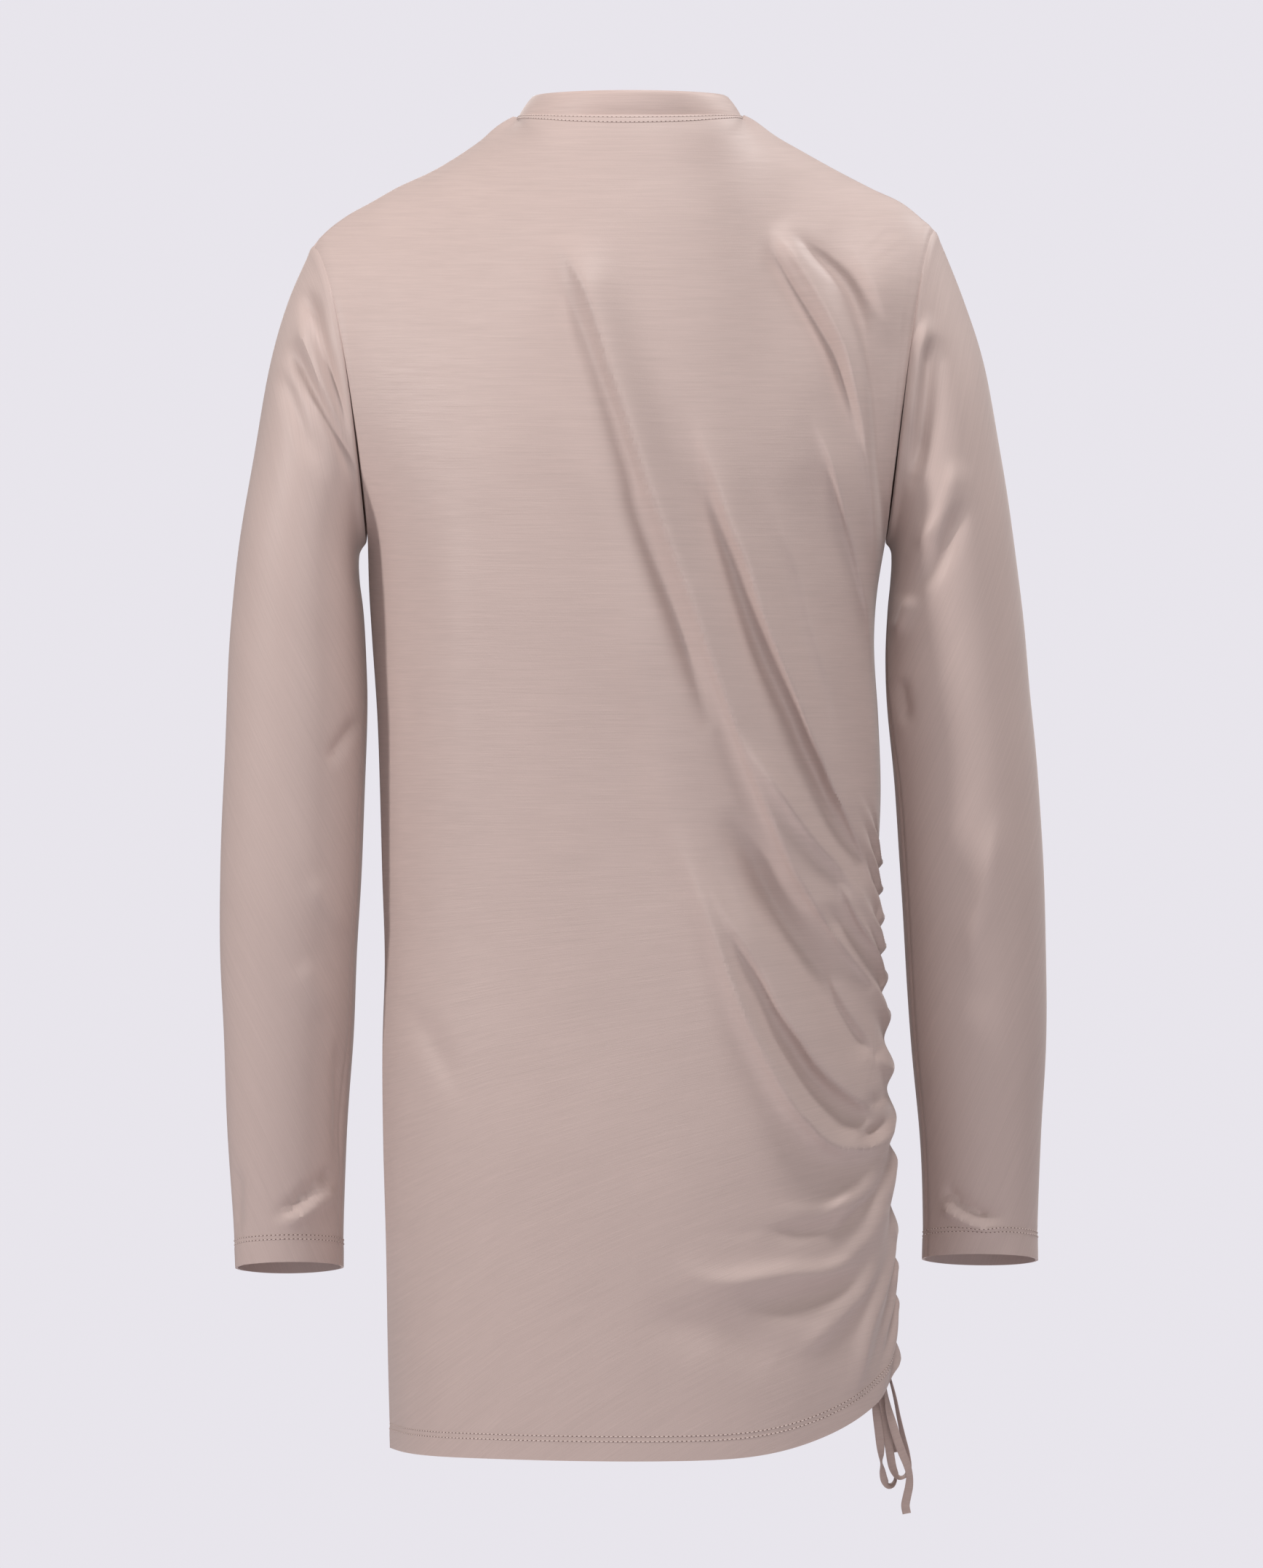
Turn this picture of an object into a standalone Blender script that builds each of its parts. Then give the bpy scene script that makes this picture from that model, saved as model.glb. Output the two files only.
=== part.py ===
"""Long-sleeved drape top, worn by nobody: a jersey tunic gathered up one side seam by a drawstring.

Metres, +Z up. The back of the garment faces -Y and its right sleeve lies towards +X. The origin is the
middle of the neck opening, level with the tops of the shoulder seams, where a wearer carries it.
All tables are in millimetres.
"""

import math
from collections import namedtuple

import bmesh
import bpy
import numpy as np
from mathutils import Vector

MM = 0.001

# Cloth and seams
WALL = 1.2
BAND_WALL = 1.8
SEAM_INSET = 0.16
BACK, FRONT = -1, 1

# The trunk from the armpits down: half widths to left and right, depths to back and front
Section = namedtuple("Section", "height left right back front")
TRUNK = (
    Section(-262, 160.5, 155.5, 103, 113),
    Section(-290, 157.6, 150.6, 104, 117),
    Section(-316, 156.4, 148.7, 104, 119),
    Section(-369, 154.0, 151.4, 103, 117),
    Section(-409, 153.2, 152.8, 102, 113),
    Section(-463, 151.8, 151.4, 102, 109),
    Section(-516, 150.2, 154.0, 104, 107),
    Section(-569, 151.6, 157.6, 106, 108),
    Section(-623, 151.2, 160.0, 108, 110),
    Section(-690, 149.4, 160.8, 108, 112),
    Section(-756, 148.2, 162.0, 107, 112),
    Section(-812, 146.8, 163.0, 106, 112),
)
TRUNK_FULLNESS = 2.25
ARMPIT = -262

# Shoulder seams, from the neck outwards: distance from the middle, and height
SHOULDER_LEFT = ((68, 0), (80, -5.5), (90, -15.5), (106, -26), (127, -36.5), (148, -47), (170, -59.5), (193.5, -82))
SHOULDER_RIGHT = ((68, 0), (79, -5), (90, -15.5), (105, -25), (125, -34.5), (147, -45), (168, -57), (186, -73))
SHOULDER_FORWARD = 6

# Neckline: half width, then depth and drop at the centre back and the centre front
NECK_HALF = 68
NECK_DEPTH = {BACK: 58, FRONT: 80}
NECK_DROP = {BACK: 9, FRONT: 84}
NECK_ROUND = {BACK: 1.4, FRONT: 1.05}
NECK_SHARE = 0.36

# Neckband: how it rises from the neckline at the back, the sides and the front (inwards, up)
BAND_BACK, BAND_SIDE, BAND_FRONT = (1.0, 13.6), (9.5, 9.5), (5.0, 12.6)

# Hem: its level, and how the drawstring lifts it towards the gathered seam
HEM = -808
HEM_LIFT = 52
HEM_LIFT_FROM = 0.42
HEM_LIFT_POWER = 1.5

# Sleeves from armhole to cuff: outer and inner edge seen from the back, middle's depth, half depth
Ring = namedtuple("Ring", "outer_x outer_z inner_x inner_z forward depth")
SLEEVE_LEFT = (
    Ring(193.5, -82, 160.5, -262, 0, 46),
    Ring(208.5, -116, 163.8, -264.5, 0, 48),
    Ring(220.0, -156, 165.6, -272, 0, 50),
    Ring(230.0, -209, 165.2, -285, 0, 51),
    Ring(238.5, -262, 162.8, -304, 0, 51),
    Ring(243.5, -312, 161.2, -331, 1, 50),
    Ring(246.0, -356, 160.4, -361, 1, 49),
    Ring(248.2, -409, 161.4, -409, 2, 47),
    Ring(250.0, -463, 163.8, -463, 4, 45),
    Ring(250.4, -516, 167.4, -516, 9, 43),
    Ring(248.8, -569, 169.6, -569, 16, 41),
    Ring(247.0, -623, 173.6, -623, 23, 38),
    Ring(242.6, -676, 176.2, -676, 31, 35),
    Ring(240.6, -701, 176.4, -700, 35, 34),
)
SLEEVE_RIGHT = (
    Ring(186.0, -73, 155.5, -262, 0, 46),
    Ring(204.0, -116, 158.8, -264.5, 0, 48),
    Ring(216.7, -156, 159.6, -273, 0, 50),
    Ring(226.4, -209, 159.0, -286, 0, 51),
    Ring(234.6, -262, 157.4, -304, 0, 51),
    Ring(240.8, -312, 156.4, -331, 1, 50),
    Ring(244.4, -356, 157.4, -361, 1, 49),
    Ring(249.0, -409, 161.4, -409, 2, 47),
    Ring(252.6, -463, 164.8, -463, 4, 45),
    Ring(254.6, -516, 168.6, -516, 9, 43),
    Ring(254.6, -569, 172.3, -569, 16, 41),
    Ring(252.4, -623, 177.6, -623, 23, 38),
    Ring(250.4, -676, 180.2, -676, 31, 35),
    Ring(249.6, -693, 180.0, -692, 34, 34),
)
SLEEVES = {-1: SLEEVE_LEFT, 1: SLEEVE_RIGHT}

# Main folds, seen from the back as lines of (across, height): rise, then spread above and below the line
Fold = namedtuple("Fold", "rise above below line")
BACK_FOLDS = (
    Fold(8.2, 16, 10, ((-45, -74), (-29, -103), (-7, -172), (17, -245), (47, -325), (71, -383))),
    Fold(8.9, 16, 11, ((62, -360), (71, -383), (99, -427), (126, -456), (144, -478), (155, -498))),
    Fold(7.3, 12, 12, ((66, -372), (84, -427), (104, -472), (124, -503), (144, -529), (159, -545))),
    Fold(
        12.5,
        26,
        20,
        ((-54, -154), (-29, -223), (-9, -285), (15, -376), (40, -463), (59, -527), (82, -574), (106, -611), (133, -631)),
    ),
    Fold(9.7, 14, 12, ((82, -574), (106, -611), (133, -631), (159, -625))),
    Fold(8.2, 13, 12, ((51, -472), (73, -509), (97, -554), (126, -587), (153, -606), (163, -606))),
    Fold(7.3, 18, 14, ((28, -178), (55, -230), (79, -294), (104, -358), (131, -432), (151, -463))),
    Fold(5.6, 13, 11, ((82, -225), (104, -278), (119, -338), (127, -383))),
    Fold(5.6, 11, 10, ((111, -185), (126, -225), (139, -270), (148, -309))),
    Fold(9.7, 13, 11, ((91, -72), (117, -119), (137, -163), (146, -214), (148, -236))),
    Fold(7.3, 12, 12, ((156, -640), (135, -656), (108, -669), (82, -667))),
    Fold(10.6, 15, 12, ((157, -671), (137, -696), (113, -710), (73, -711), (42, -705), (6, -682))),
    Fold(8.2, 12, 12, ((151, -700), (122, -727), (91, -745), (59, -756), (24, -756))),
    Fold(7.3, 13, 13, ((151, -716), (126, -751), (99, -778))),
    Fold(-6.5, 13, 13, ((-56, -107), (-29, -143), (-7, -205), (13, -267), (37, -338), (59, -396))),
    Fold(-4.9, 16, 16, ((-132, -241), (-135, -329), (-134, -418), (-137, -507))),
)
FRONT_FOLDS = (
    Fold(6.8, 22, 16, ((-96, -150), (-60, -236), (-22, -318), (22, -392), (70, -446), (118, -478), (150, -490))),
    Fold(8.8, 26, 20, ((-110, -262), (-78, -352), (-38, -436), (8, -508), (58, -562), (108, -590), (152, -598))),
    Fold(6.8, 15, 13, ((30, -330), (62, -388), (100, -428), (138, -452))),
    Fold(6.8, 15, 13, ((20, -455), (62, -505), (106, -535), (152, -548))),
    Fold(6.8, 16, 14, ((-30, -580), (20, -632), (70, -655), (120, -655), (154, -645))),
    Fold(8.1, 18, 14, ((-20, -672), (24, -702), (74, -716), (120, -708), (155, -682))),
    Fold(6.8, 14, 13, ((30, -760), (74, -758), (116, -742), (152, -712))),
)
SLEEVE_LEFT_FOLDS = (
    Fold(-4.5, 11, 11, ((-199, -102), (-185, -153), (-174, -179), (-164, -199))),
    Fold(-4.5, 11, 11, ((-207, -136), (-189, -175), (-177, -196), (-163, -221))),
    Fold(3.5, 14, 14, ((-195, -465), (-185, -482), (-176, -497))),
    Fold(3.0, 14, 14, ((-202, -517), (-192, -535), (-186, -546))),
    Fold(3.5, 9, 9, ((-181, -658), (-195, -667), (-210, -676))),
)
SLEEVE_RIGHT_FOLDS = (
    Fold(5.0, 12, 12, ((178, -123), (170, -159), (167, -192))),
    Fold(-4.5, 11, 11, ((182, -136), (180, -179), (175, -218))),
    Fold(4.0, 13, 13, ((200, -212), (190, -245), (177, -265))),
    Fold(3.0, 12, 12, ((192, -668), (202, -678), (222, -684))),
)
SLEEVE_FOLDS = {-1: SLEEVE_LEFT_FOLDS, 1: SLEEVE_RIGHT_FOLDS}

# Gathers of the drawstring seam, from the top: heights of the hollows and of the crests between them
HOLLOWS = (-448, -462.6, -478.6, -498.6, -513.7, -536.4, -562.5, -592.3, -623.8, -659.3, -690, -711.3, -738)
CRESTS = (-455, -471.5, -488.4, -506, -524.8, -547.9, -579, -610, -636.7, -678, -700, -723, -756)
GATHER_RISE = 3.4
GATHERED_FROM = 0.74

# The drawstring: a flat tape, and its knot inside the hem corner
TAPE_WIDTH, TAPE_THICKNESS = 5.2, 1.2
KNOT_MIDDLE = (153.4, 0.4, -763.2)
KNOT_HALF = (5.8, 7.0, 4.8)
KNOT_NECK = (7.1, 8.62)

# Each stretch of tape as (across, deep, height, turn); turn 0 shows its width from behind, 90 its edge
TAPES = {
    "tape_loop_inner": (
        (149.2, -3.0, -768.3, 80),
        (149.0, -4.2, -779, 60),
        (150.0, -6.0, -790, 20),
        (151.4, -6.6, -801, 5),
        (152.4, -6.6, -810, 15),
        (153.0, -6.2, -816.5, 45),
        (153.2, -5.6, -821.8, 78),
        (153.8, -4.6, -827, 45),
        (155.0, -3.0, -832.4, 30),
        (157.4, -0.6, -836.0, 45),
        (160.4, 2.2, -835.8, 65),
        (162.2, 4.0, -832.4, 75),
        (160.8, 4.9, -826, 70),
        (158.0, 5.0, -816, 55),
        (156.0, 5.0, -804, 45),
        (154.0, 4.8, -790, 60),
        (152.0, 4.2, -779, 72),
        (150.4, 3.4, -768.3, 80),
    ),
    "tape_loop_outer": (
        (152.2, -3.0, -768.3, 80),
        (153.2, -2.6, -780, 65),
        (155.2, -2.2, -793, 40),
        (157.2, -1.8, -806, 20),
        (158.7, -1.7, -817, 10),
        (160.2, -1.6, -825.0, 20),
        (162.8, -1.0, -830.2, 50),
        (166.0, 0.4, -831.4, 75),
        (169.0, 2.0, -829.8, 70),
        (170.4, 3.2, -825.4, 55),
        (169.2, 3.8, -817, 50),
        (166.8, 3.8, -807, 55),
        (164.2, 3.8, -795, 65),
        (161.6, 3.6, -782, 72),
        (157.9, 3.4, -768.3, 80),
    ),
    "tape_end_long": (
        (155.2, -3.0, -768.3, 80),
        (156.0, -4.6, -778, 75),
        (157.4, -6.6, -788, 45),
        (159.8, -7.8, -797.5, 15),
        (162.4, -8.2, -806, 5),
        (165.4, -8.0, -814.5, 10),
        (168.4, -7.2, -822, 25),
        (170.2, -6.4, -829, 35),
        (170.0, -5.8, -836, 15),
        (168.8, -5.6, -842, 5),
        (167.8, -5.8, -847.6, 0),
        (168.6, -6.4, -852.6, 0),
    ),
    "tape_end_short": (
        (153.6, 4.2, -768.3, 85),
        (154.8, 8.0, -778, 75),
        (156.6, 10.4, -788, 50),
        (158.6, 10.8, -798, 25),
        (160.6, 10.4, -808, 5),
        (162.0, 10.0, -817.4, 0),
    ),
}

# Mesh density
ARMHOLE_ROWS = 11
PLAIN_ROWS = 8
ROWS_PER_GATHER = 4
LEFT_COLUMNS, NECK_COLUMNS, RIGHT_COLUMNS = 6, 10, 9
SLEEVE_RINGS = 17


def spline(xs, ys, at):
    """A smooth curve through a short table, read at the given places."""
    xs = np.asarray(xs, float)
    ys = np.asarray(ys, float)
    if xs[0] > xs[-1]:
        xs, ys = xs[::-1], ys[::-1]
    slopes = np.gradient(ys, xs)
    at = np.clip(at, xs[0], xs[-1])
    i = np.clip(np.searchsorted(xs, at) - 1, 0, len(xs) - 2)
    step = xs[i + 1] - xs[i]
    t = (at - xs[i]) / step
    start = ((2 * t - 3) * t * t + 1) * ys[i] + ((t - 2) * t + 1) * t * slopes[i] * step
    end = (3 - 2 * t) * t * t * ys[i + 1] + (t - 1) * t * t * slopes[i + 1] * step
    return start + end


def ease(share):
    share = np.clip(share, 0, 1)
    return share * share * (3 - 2 * share)


def column(table, name):
    return [getattr(row, name) for row in table]


def unit(vectors):
    return vectors / np.maximum(np.linalg.norm(vectors, axis=-1, keepdims=True), 1e-9)


def quarter_outline():
    """The trunk's outline from its middle to its side, as even steps along the cloth."""
    angle = np.linspace(0, math.pi / 2, 400)
    across = np.sin(angle) ** (2 / TRUNK_FULLNESS)
    deep = np.cos(angle) ** (2 / TRUNK_FULLNESS)
    run = np.concatenate([[0], np.cumsum(np.hypot(np.diff(across * 155), np.diff(deep * 106)))])
    return run / run[-1], across, deep


TURN_SHARE, TURN_ACROSS, TURN_DEEP = quarter_outline()


def top_edge(face, across):
    """The upper edge of a panel: left shoulder seam, neckline, right shoulder seam."""
    share = np.abs(across)
    outward = np.clip((share - NECK_SHARE) / (1 - NECK_SHARE), 0, 1)
    left_x = NECK_HALF + (SHOULDER_LEFT[-1][0] - NECK_HALF) * outward
    right_x = NECK_HALF + (SHOULDER_RIGHT[-1][0] - NECK_HALF) * outward
    left = across < 0
    seam_x = np.where(left, -left_x, right_x)
    seam_z = np.where(left, spline(*zip(*SHOULDER_LEFT), left_x), spline(*zip(*SHOULDER_RIGHT), right_x))
    seam_y = SHOULDER_FORWARD * (1 - outward**2)
    swing = np.clip(across / NECK_SHARE, -1, 1) * math.pi / 2
    neck_x = NECK_HALF * np.sin(swing)
    neck_y = SHOULDER_FORWARD + (face * NECK_DEPTH[face] - SHOULDER_FORWARD) * np.cos(swing)
    neck_z = -NECK_DROP[face] * np.cos(swing) ** NECK_ROUND[face]
    on_neck = share <= NECK_SHARE
    edge = (np.where(on_neck, neck_x, seam_x), np.where(on_neck, neck_y, seam_y), np.where(on_neck, neck_z, seam_z))
    return np.stack(edge, axis=-1)


def hem_height(across):
    lift = np.clip((across - HEM_LIFT_FROM) / (1 - HEM_LIFT_FROM), 0, 1)
    return HEM + HEM_LIFT * lift**HEM_LIFT_POWER


def level(face, across, height):
    """A point of the trunk below the armpits."""
    left = across < 0
    heights = column(TRUNK, "height")
    half = np.where(left, spline(heights, column(TRUNK, "left"), height), spline(heights, column(TRUNK, "right"), height))
    depth = spline(heights, column(TRUNK, "back" if face == BACK else "front"), height)
    x = np.sign(across) * half * np.interp(np.abs(across), TURN_SHARE, TURN_ACROSS)
    y = face * depth * np.interp(np.abs(across), TURN_SHARE, TURN_DEEP)
    return np.stack([x, y, height + 0 * x], axis=-1)


def mixed(share, start, end):
    return np.asarray(start, float) * (1 - share[..., None]) + np.asarray(end, float) * share[..., None]


def trunk(face, across, down):
    """The plain trunk. across is -1 at the left seam and 1 at the gathered right seam; down is 0 along
    shoulders and neck, 1 level with the armpits and 2 along the hem."""
    across, down = np.broadcast_arrays(np.asarray(across, float), np.asarray(down, float))
    fall = np.clip(down - 1, 0, 1)
    below = level(face, across, ARMPIT + (hem_height(across) - ARMPIT) * fall)
    share = np.abs(across)
    side = np.sign(across)[..., None] * np.array([1, 0, 0]) + np.array([0, face, 1])
    low = level(face, across, np.full(across.shape, float(ARMPIT)))
    top = top_edge(face, across)
    if face == BACK:
        up_middle, down_middle, down_corner = (0, 5, 84), (0, 34, -56), (5, 36, -15)
    else:
        up_middle, down_middle, down_corner = (0, -1, 58), (0, 17, -50), (5, 36, -20)
    left = across < 0
    up_edge = np.where(left[..., None], (-1.5, 61, 22), (2.5, 61, 22))
    down_edge = np.where(left[..., None], (-20.5, 61, -26), (-15.0, 61, -26))
    edge = (share**4)[..., None]
    up = (np.asarray(up_middle, float) * (1 - edge) + up_edge * edge) * side
    neck = ease(share / NECK_SHARE)
    shoulder = np.clip((share - NECK_SHARE) / (1 - NECK_SHARE), 0, 1)[..., None]
    away = (mixed(neck, down_middle, down_corner) * (1 - shoulder) + down_edge * shoulder) * side
    t = np.clip(1 - down, 0, 1)[..., None]
    s = 1 - t
    above = s**3 * low + 3 * s * s * t * (low + up) + 3 * s * t * t * (top + away) + t**3 * top
    return np.where(down[..., None] < 1, above, below)


def raised(folds, x, z):
    """How far the folds of a table lift the cloth at points seen at (x, z)."""
    total = np.zeros(x.shape)
    for fold in folds:
        line = np.asarray(fold.line, float)
        start, run = line[:-1], np.diff(line, axis=0)
        lengths = np.linalg.norm(run, axis=1)
        so_far = np.concatenate([[0], np.cumsum(lengths)])
        gap_x = x[..., None] - start[:, 0]
        gap_z = z[..., None] - start[:, 1]
        t = np.clip((gap_x * run[:, 0] + gap_z * run[:, 1]) / lengths**2, 0, 1)
        off_x = gap_x - t * run[:, 0]
        off_z = gap_z - t * run[:, 1]
        apart = np.hypot(off_x, off_z)
        nearest = np.argmin(apart, axis=-1)[..., None]
        distance = np.take_along_axis(apart, nearest, -1)[..., 0]
        along = np.take_along_axis(so_far[:-1] + t * lengths, nearest, -1)[..., 0] / so_far[-1]
        higher = np.take_along_axis(off_z, nearest, -1)[..., 0] > 0
        spread = np.where(higher, fold.above, fold.below)
        fade = ease(along / 0.22 + 0.1) * ease((1 - along) / 0.2 + 0.25)
        total += fold.rise * fade * np.exp(-((distance / spread) ** 2))
    return total


def gathered(height):
    """The drawstring seam's own waves."""
    knots = sorted(list(HOLLOWS) + list(CRESTS))
    waves = [GATHER_RISE if z in CRESTS else -GATHER_RISE * 0.6 for z in knots]
    place = np.clip(np.searchsorted(knots, height) - 1, 0, len(knots) - 2)
    knots, waves = np.asarray(knots), np.asarray(waves)
    t = ease((height - knots[place]) / (knots[place + 1] - knots[place]))
    wave = waves[place] * (1 - t) + waves[place + 1] * t
    return wave * ease((HOLLOWS[0] + 8 - height) / 14)


def folded_panel(face, across, down):
    """The trunk with its folds: each point moved along the cloth's own normal."""
    plain = trunk(face, across, down)
    normal = grid_normals(plain, face)
    normal[..., 1] *= np.abs(across) < 1
    normal = unit(normal)
    x, z = plain[..., 0], plain[..., 2]
    height = raised(BACK_FOLDS if face == BACK else FRONT_FOLDS, x, z)
    off_seam = ease((1 + across) * 9) * ease((1 - across) * 7.5) * ease(down * 7)
    seam_height = ARMPIT + (hem_height(1.0) - ARMPIT) * np.clip(down - 1, 0, 1)
    waves = gathered(seam_height) * ease((across - GATHERED_FROM) / (1 - GATHERED_FROM))
    return plain + normal * (height * off_seam + waves)[..., None]


def grid_normals(points, face=None, around=False):
    """Unit normals of a grid of points, turned outwards."""
    if around:
        wrapped = np.concatenate([points[:, -1:], points, points[:, :1]], axis=1)
        along = (wrapped[:, 2:] - wrapped[:, :-2]) / 2
    else:
        along = np.gradient(points, axis=1)
    normal = unit(np.cross(along, np.gradient(points, axis=0)))
    if around:
        middle = points.mean(axis=1, keepdims=True)
        turned = np.sum(normal * (points - middle)) < 0
    else:
        turned = np.sum(normal[..., 1]) * face < 0
    return -normal if turned else normal


def armhole(side):
    """The armhole seam as a closed loop from the armpit, up the back and down the front."""
    rows = np.linspace(1, 0, ARMHOLE_ROWS + 1)
    back = trunk(BACK, np.full(rows.shape, float(side)), rows)
    front = trunk(FRONT, np.full(rows.shape, float(side)), rows[::-1])
    return np.concatenate([back[:-1], front[:-1]])


def folded_sleeve(side):
    """A sleeve as rings from the armhole to the cuff."""
    table = SLEEVES[side]
    places = np.linspace(0, 1, SLEEVE_RINGS + 1) ** 1.15 * (len(table) - 1)
    ring = {name: spline(np.arange(len(table)), column(table, name), places)[:, None] for name in Ring._fields}
    angle = (np.arange(2 * ARMHOLE_ROWS) / (2 * ARMHOLE_ROWS) * 2 * math.pi)[None, :]
    outer = (1 - np.cos(angle)) / 2
    x = side * (ring["inner_x"] + (ring["outer_x"] - ring["inner_x"]) * outer)
    z = ring["inner_z"] + (ring["outer_z"] - ring["inner_z"]) * outer
    y = ring["forward"] - ring["depth"] * np.sin(angle)
    z = z + np.sin(angle) * 6.5 * ease((places[:, None] - 9) / 4)
    rings = np.stack([x, y, z + 0 * y], axis=-1)
    joined = ease(1 - places / 4)[:, None, None]
    rings = rings + (armhole(side) - rings[0])[None] * joined
    normal = grid_normals(rings, around=True)
    height = raised(SLEEVE_FOLDS[side], rings[..., 0], rings[..., 2])
    rear = ease(np.sin(angle) * 2.2)
    front = ease(-np.sin(angle) * 2.2) * 0.7
    height = height * (rear + front) * ease(places / 1.5)[:, None]
    return rings + normal * height[..., None]


def band_rings():
    """The neckband, from the neckline seam to its upper edge."""
    swing = np.linspace(-1, 1, NECK_COLUMNS + 1) * NECK_SHARE
    lower = np.concatenate([top_edge(BACK, swing)[:-1], top_edge(FRONT, swing[::-1])[:-1]])
    turn = np.linspace(-1, 1, NECK_COLUMNS + 1) * math.pi / 2
    to_side = np.sin(np.concatenate([turn[:-1], turn[::-1][:-1]]))
    face = np.concatenate([np.full(NECK_COLUMNS, BACK), np.full(NECK_COLUMNS, FRONT)])
    middle = np.where(face[:, None] == BACK, BAND_BACK, BAND_FRONT)
    lean = middle + (np.asarray(BAND_SIDE) - middle) * (to_side**2)[:, None]
    inward = -unit(np.stack([lower[:, 0], lower[:, 1] - SHOULDER_FORWARD, 0 * lower[:, 0]], axis=-1))
    full = inward * lean[:, :1] + np.array([0, 0, 1]) * lean[:, 1:]
    outward = unit(np.cross(np.roll(lower, -1, axis=0) - np.roll(lower, 1, axis=0), full))
    if np.sum(outward * -inward) < 0:
        outward = -outward
    half = lower + full / 2 + outward * 0.5
    return np.stack([lower, half, lower + full])


class Piece:
    """A sewn piece: the grid of its outer face, its thickness and its seams."""

    def __init__(self, name, points, normals, wall, around=False):
        self.name = name
        self.points = points
        self.normals = normals
        self.wall = wall
        self.around = around
        self.inset = np.zeros(points.shape)
        self.coarse_to = 0
        self.coarse_from = 0
        self.coarse_step = 1

    def seams(self):
        """Runs of edge cells, each with the step that leads into the piece."""
        rows, columns = self.points.shape[:2]
        if self.around:
            return [([(0, c) for c in range(columns)], (1, 0), True)]
        corner = LEFT_COLUMNS
        other = LEFT_COLUMNS + NECK_COLUMNS
        armpit = ARMHOLE_ROWS
        return [
            ([(0, c) for c in range(corner + 1)], (1, 0), False),
            ([(0, c) for c in range(corner, other + 1)], (1, 0), False),
            ([(0, c) for c in range(other, columns)], (1, 0), False),
            ([(r, 0) for r in range(armpit + 1)], (0, 1), False),
            ([(r, 0) for r in range(armpit, rows)], (0, 1), False),
            ([(r, columns - 1) for r in range(armpit + 1)], (0, -1), False),
            ([(r, columns - 1) for r in range(armpit, rows)], (0, -1), False),
        ]


def key(point):
    return tuple(np.round(point * 100).astype(int))


def share_normals(pieces):
    """Give the two sides of each seam one normal, so that their walls meet squarely."""
    met = {}
    for piece in pieces:
        done = set()
        for cells, _, _ in piece.seams():
            for cell in cells:
                if cell not in done:
                    done.add(cell)
                    met.setdefault(key(piece.points[cell]), []).append((piece, cell))
    for group in met.values():
        total = unit(sum(piece.normals[cell] for piece, cell in group))
        for piece, cell in group:
            piece.normals[cell] = total


def inset_seams(piece):
    """Draw each seam edge back by half the seam gap, within the cloth."""
    found = {}
    for cells, inward, loop in piece.seams():
        line = np.array([piece.points[cell] for cell in cells])
        if loop:
            tangent = np.roll(line, -1, axis=0) - np.roll(line, 1, axis=0)
        else:
            tangent = np.gradient(line, axis=0)
        for cell, direction in zip(cells, unit(tangent)):
            inner = (cell[0] + inward[0], cell[1] + inward[1])
            into = piece.points[inner] - piece.points[cell]
            across = np.cross(piece.normals[cell], direction)
            if np.linalg.norm(across) < 0.5:
                across = into - direction * np.dot(direction, into)
            across = unit(across)
            if np.dot(across, into) < 0:
                across = -across
            found.setdefault(cell, []).append(across)
    for cell, steps in found.items():
        if len(steps) == 1:
            step = steps[0]
        else:
            step = (steps[0] + steps[1]) / max(1 + np.dot(steps[0], steps[1]), 0.5)
        piece.inset[cell] = step * SEAM_INSET


def outline_cells(piece):
    """The faces of a piece's grid as loops of cells, coarser where its cloth is plain."""
    rows, columns = piece.points.shape[:2]
    loops = []
    last = columns if piece.around else columns - 1
    for c in range(last):
        nxt = (c + 1) % columns
        r = 0
        while r < rows - 1:
            wide = c < piece.coarse_to and r >= piece.coarse_from
            step = min(piece.coarse_step, rows - 1 - r) if wide else 1
            right_fine = wide and c + 1 == piece.coarse_to
            right = range(r + step, r - 1, -1) if right_fine else (r + step, r)
            loops.append([(r, c), (r + step, c)] + [(k, nxt) for k in right])
            r += step
    return loops


def finished(name, body, colour):
    bmesh.ops.recalc_face_normals(body, faces=body.faces)
    bmesh.ops.triangulate(body, faces=body.faces)
    mesh = bpy.data.meshes.new(name)
    body.to_mesh(mesh)
    body.free()
    cloth = bpy.data.materials.new(name)
    cloth.diffuse_color = (*colour, 1)
    mesh.materials.append(cloth)
    item = bpy.data.objects.new(name, mesh)
    bpy.context.scene.collection.objects.link(item)
    return item


def sewn(piece, colour):
    """Build a piece as a closed thin wall."""
    body = bmesh.new()
    outer, inner = {}, {}
    loops = outline_cells(piece)
    edges = {}
    for loop in loops:
        for cell in loop:
            if cell not in outer:
                point = piece.points[cell] + piece.inset[cell]
                outer[cell] = body.verts.new(Vector(point * MM))
                inner[cell] = body.verts.new(Vector((point - piece.normals[cell] * piece.wall) * MM))
        for start, end in zip(loop, loop[1:] + loop[:1]):
            if (end, start) in edges:
                del edges[(end, start)]
            else:
                edges[(start, end)] = True
        body.faces.new([outer[cell] for cell in loop])
        body.faces.new([inner[cell] for cell in reversed(loop)])
    for start, end in edges:
        body.faces.new([outer[end], outer[start], inner[start], inner[end]])
    return finished(piece.name, body, colour)


def columns_across():
    """Where the panels' columns stand, closer together towards the gathered seam."""
    left = np.linspace(-1, -NECK_SHARE, LEFT_COLUMNS + 1)
    middle = np.linspace(-NECK_SHARE, NECK_SHARE, NECK_COLUMNS + 1)
    right = NECK_SHARE + (1 - NECK_SHARE) * (1 - np.linspace(1, 0, RIGHT_COLUMNS + 1) ** 1.25)
    return np.concatenate([left[:-1], middle[:-1], right])


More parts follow.
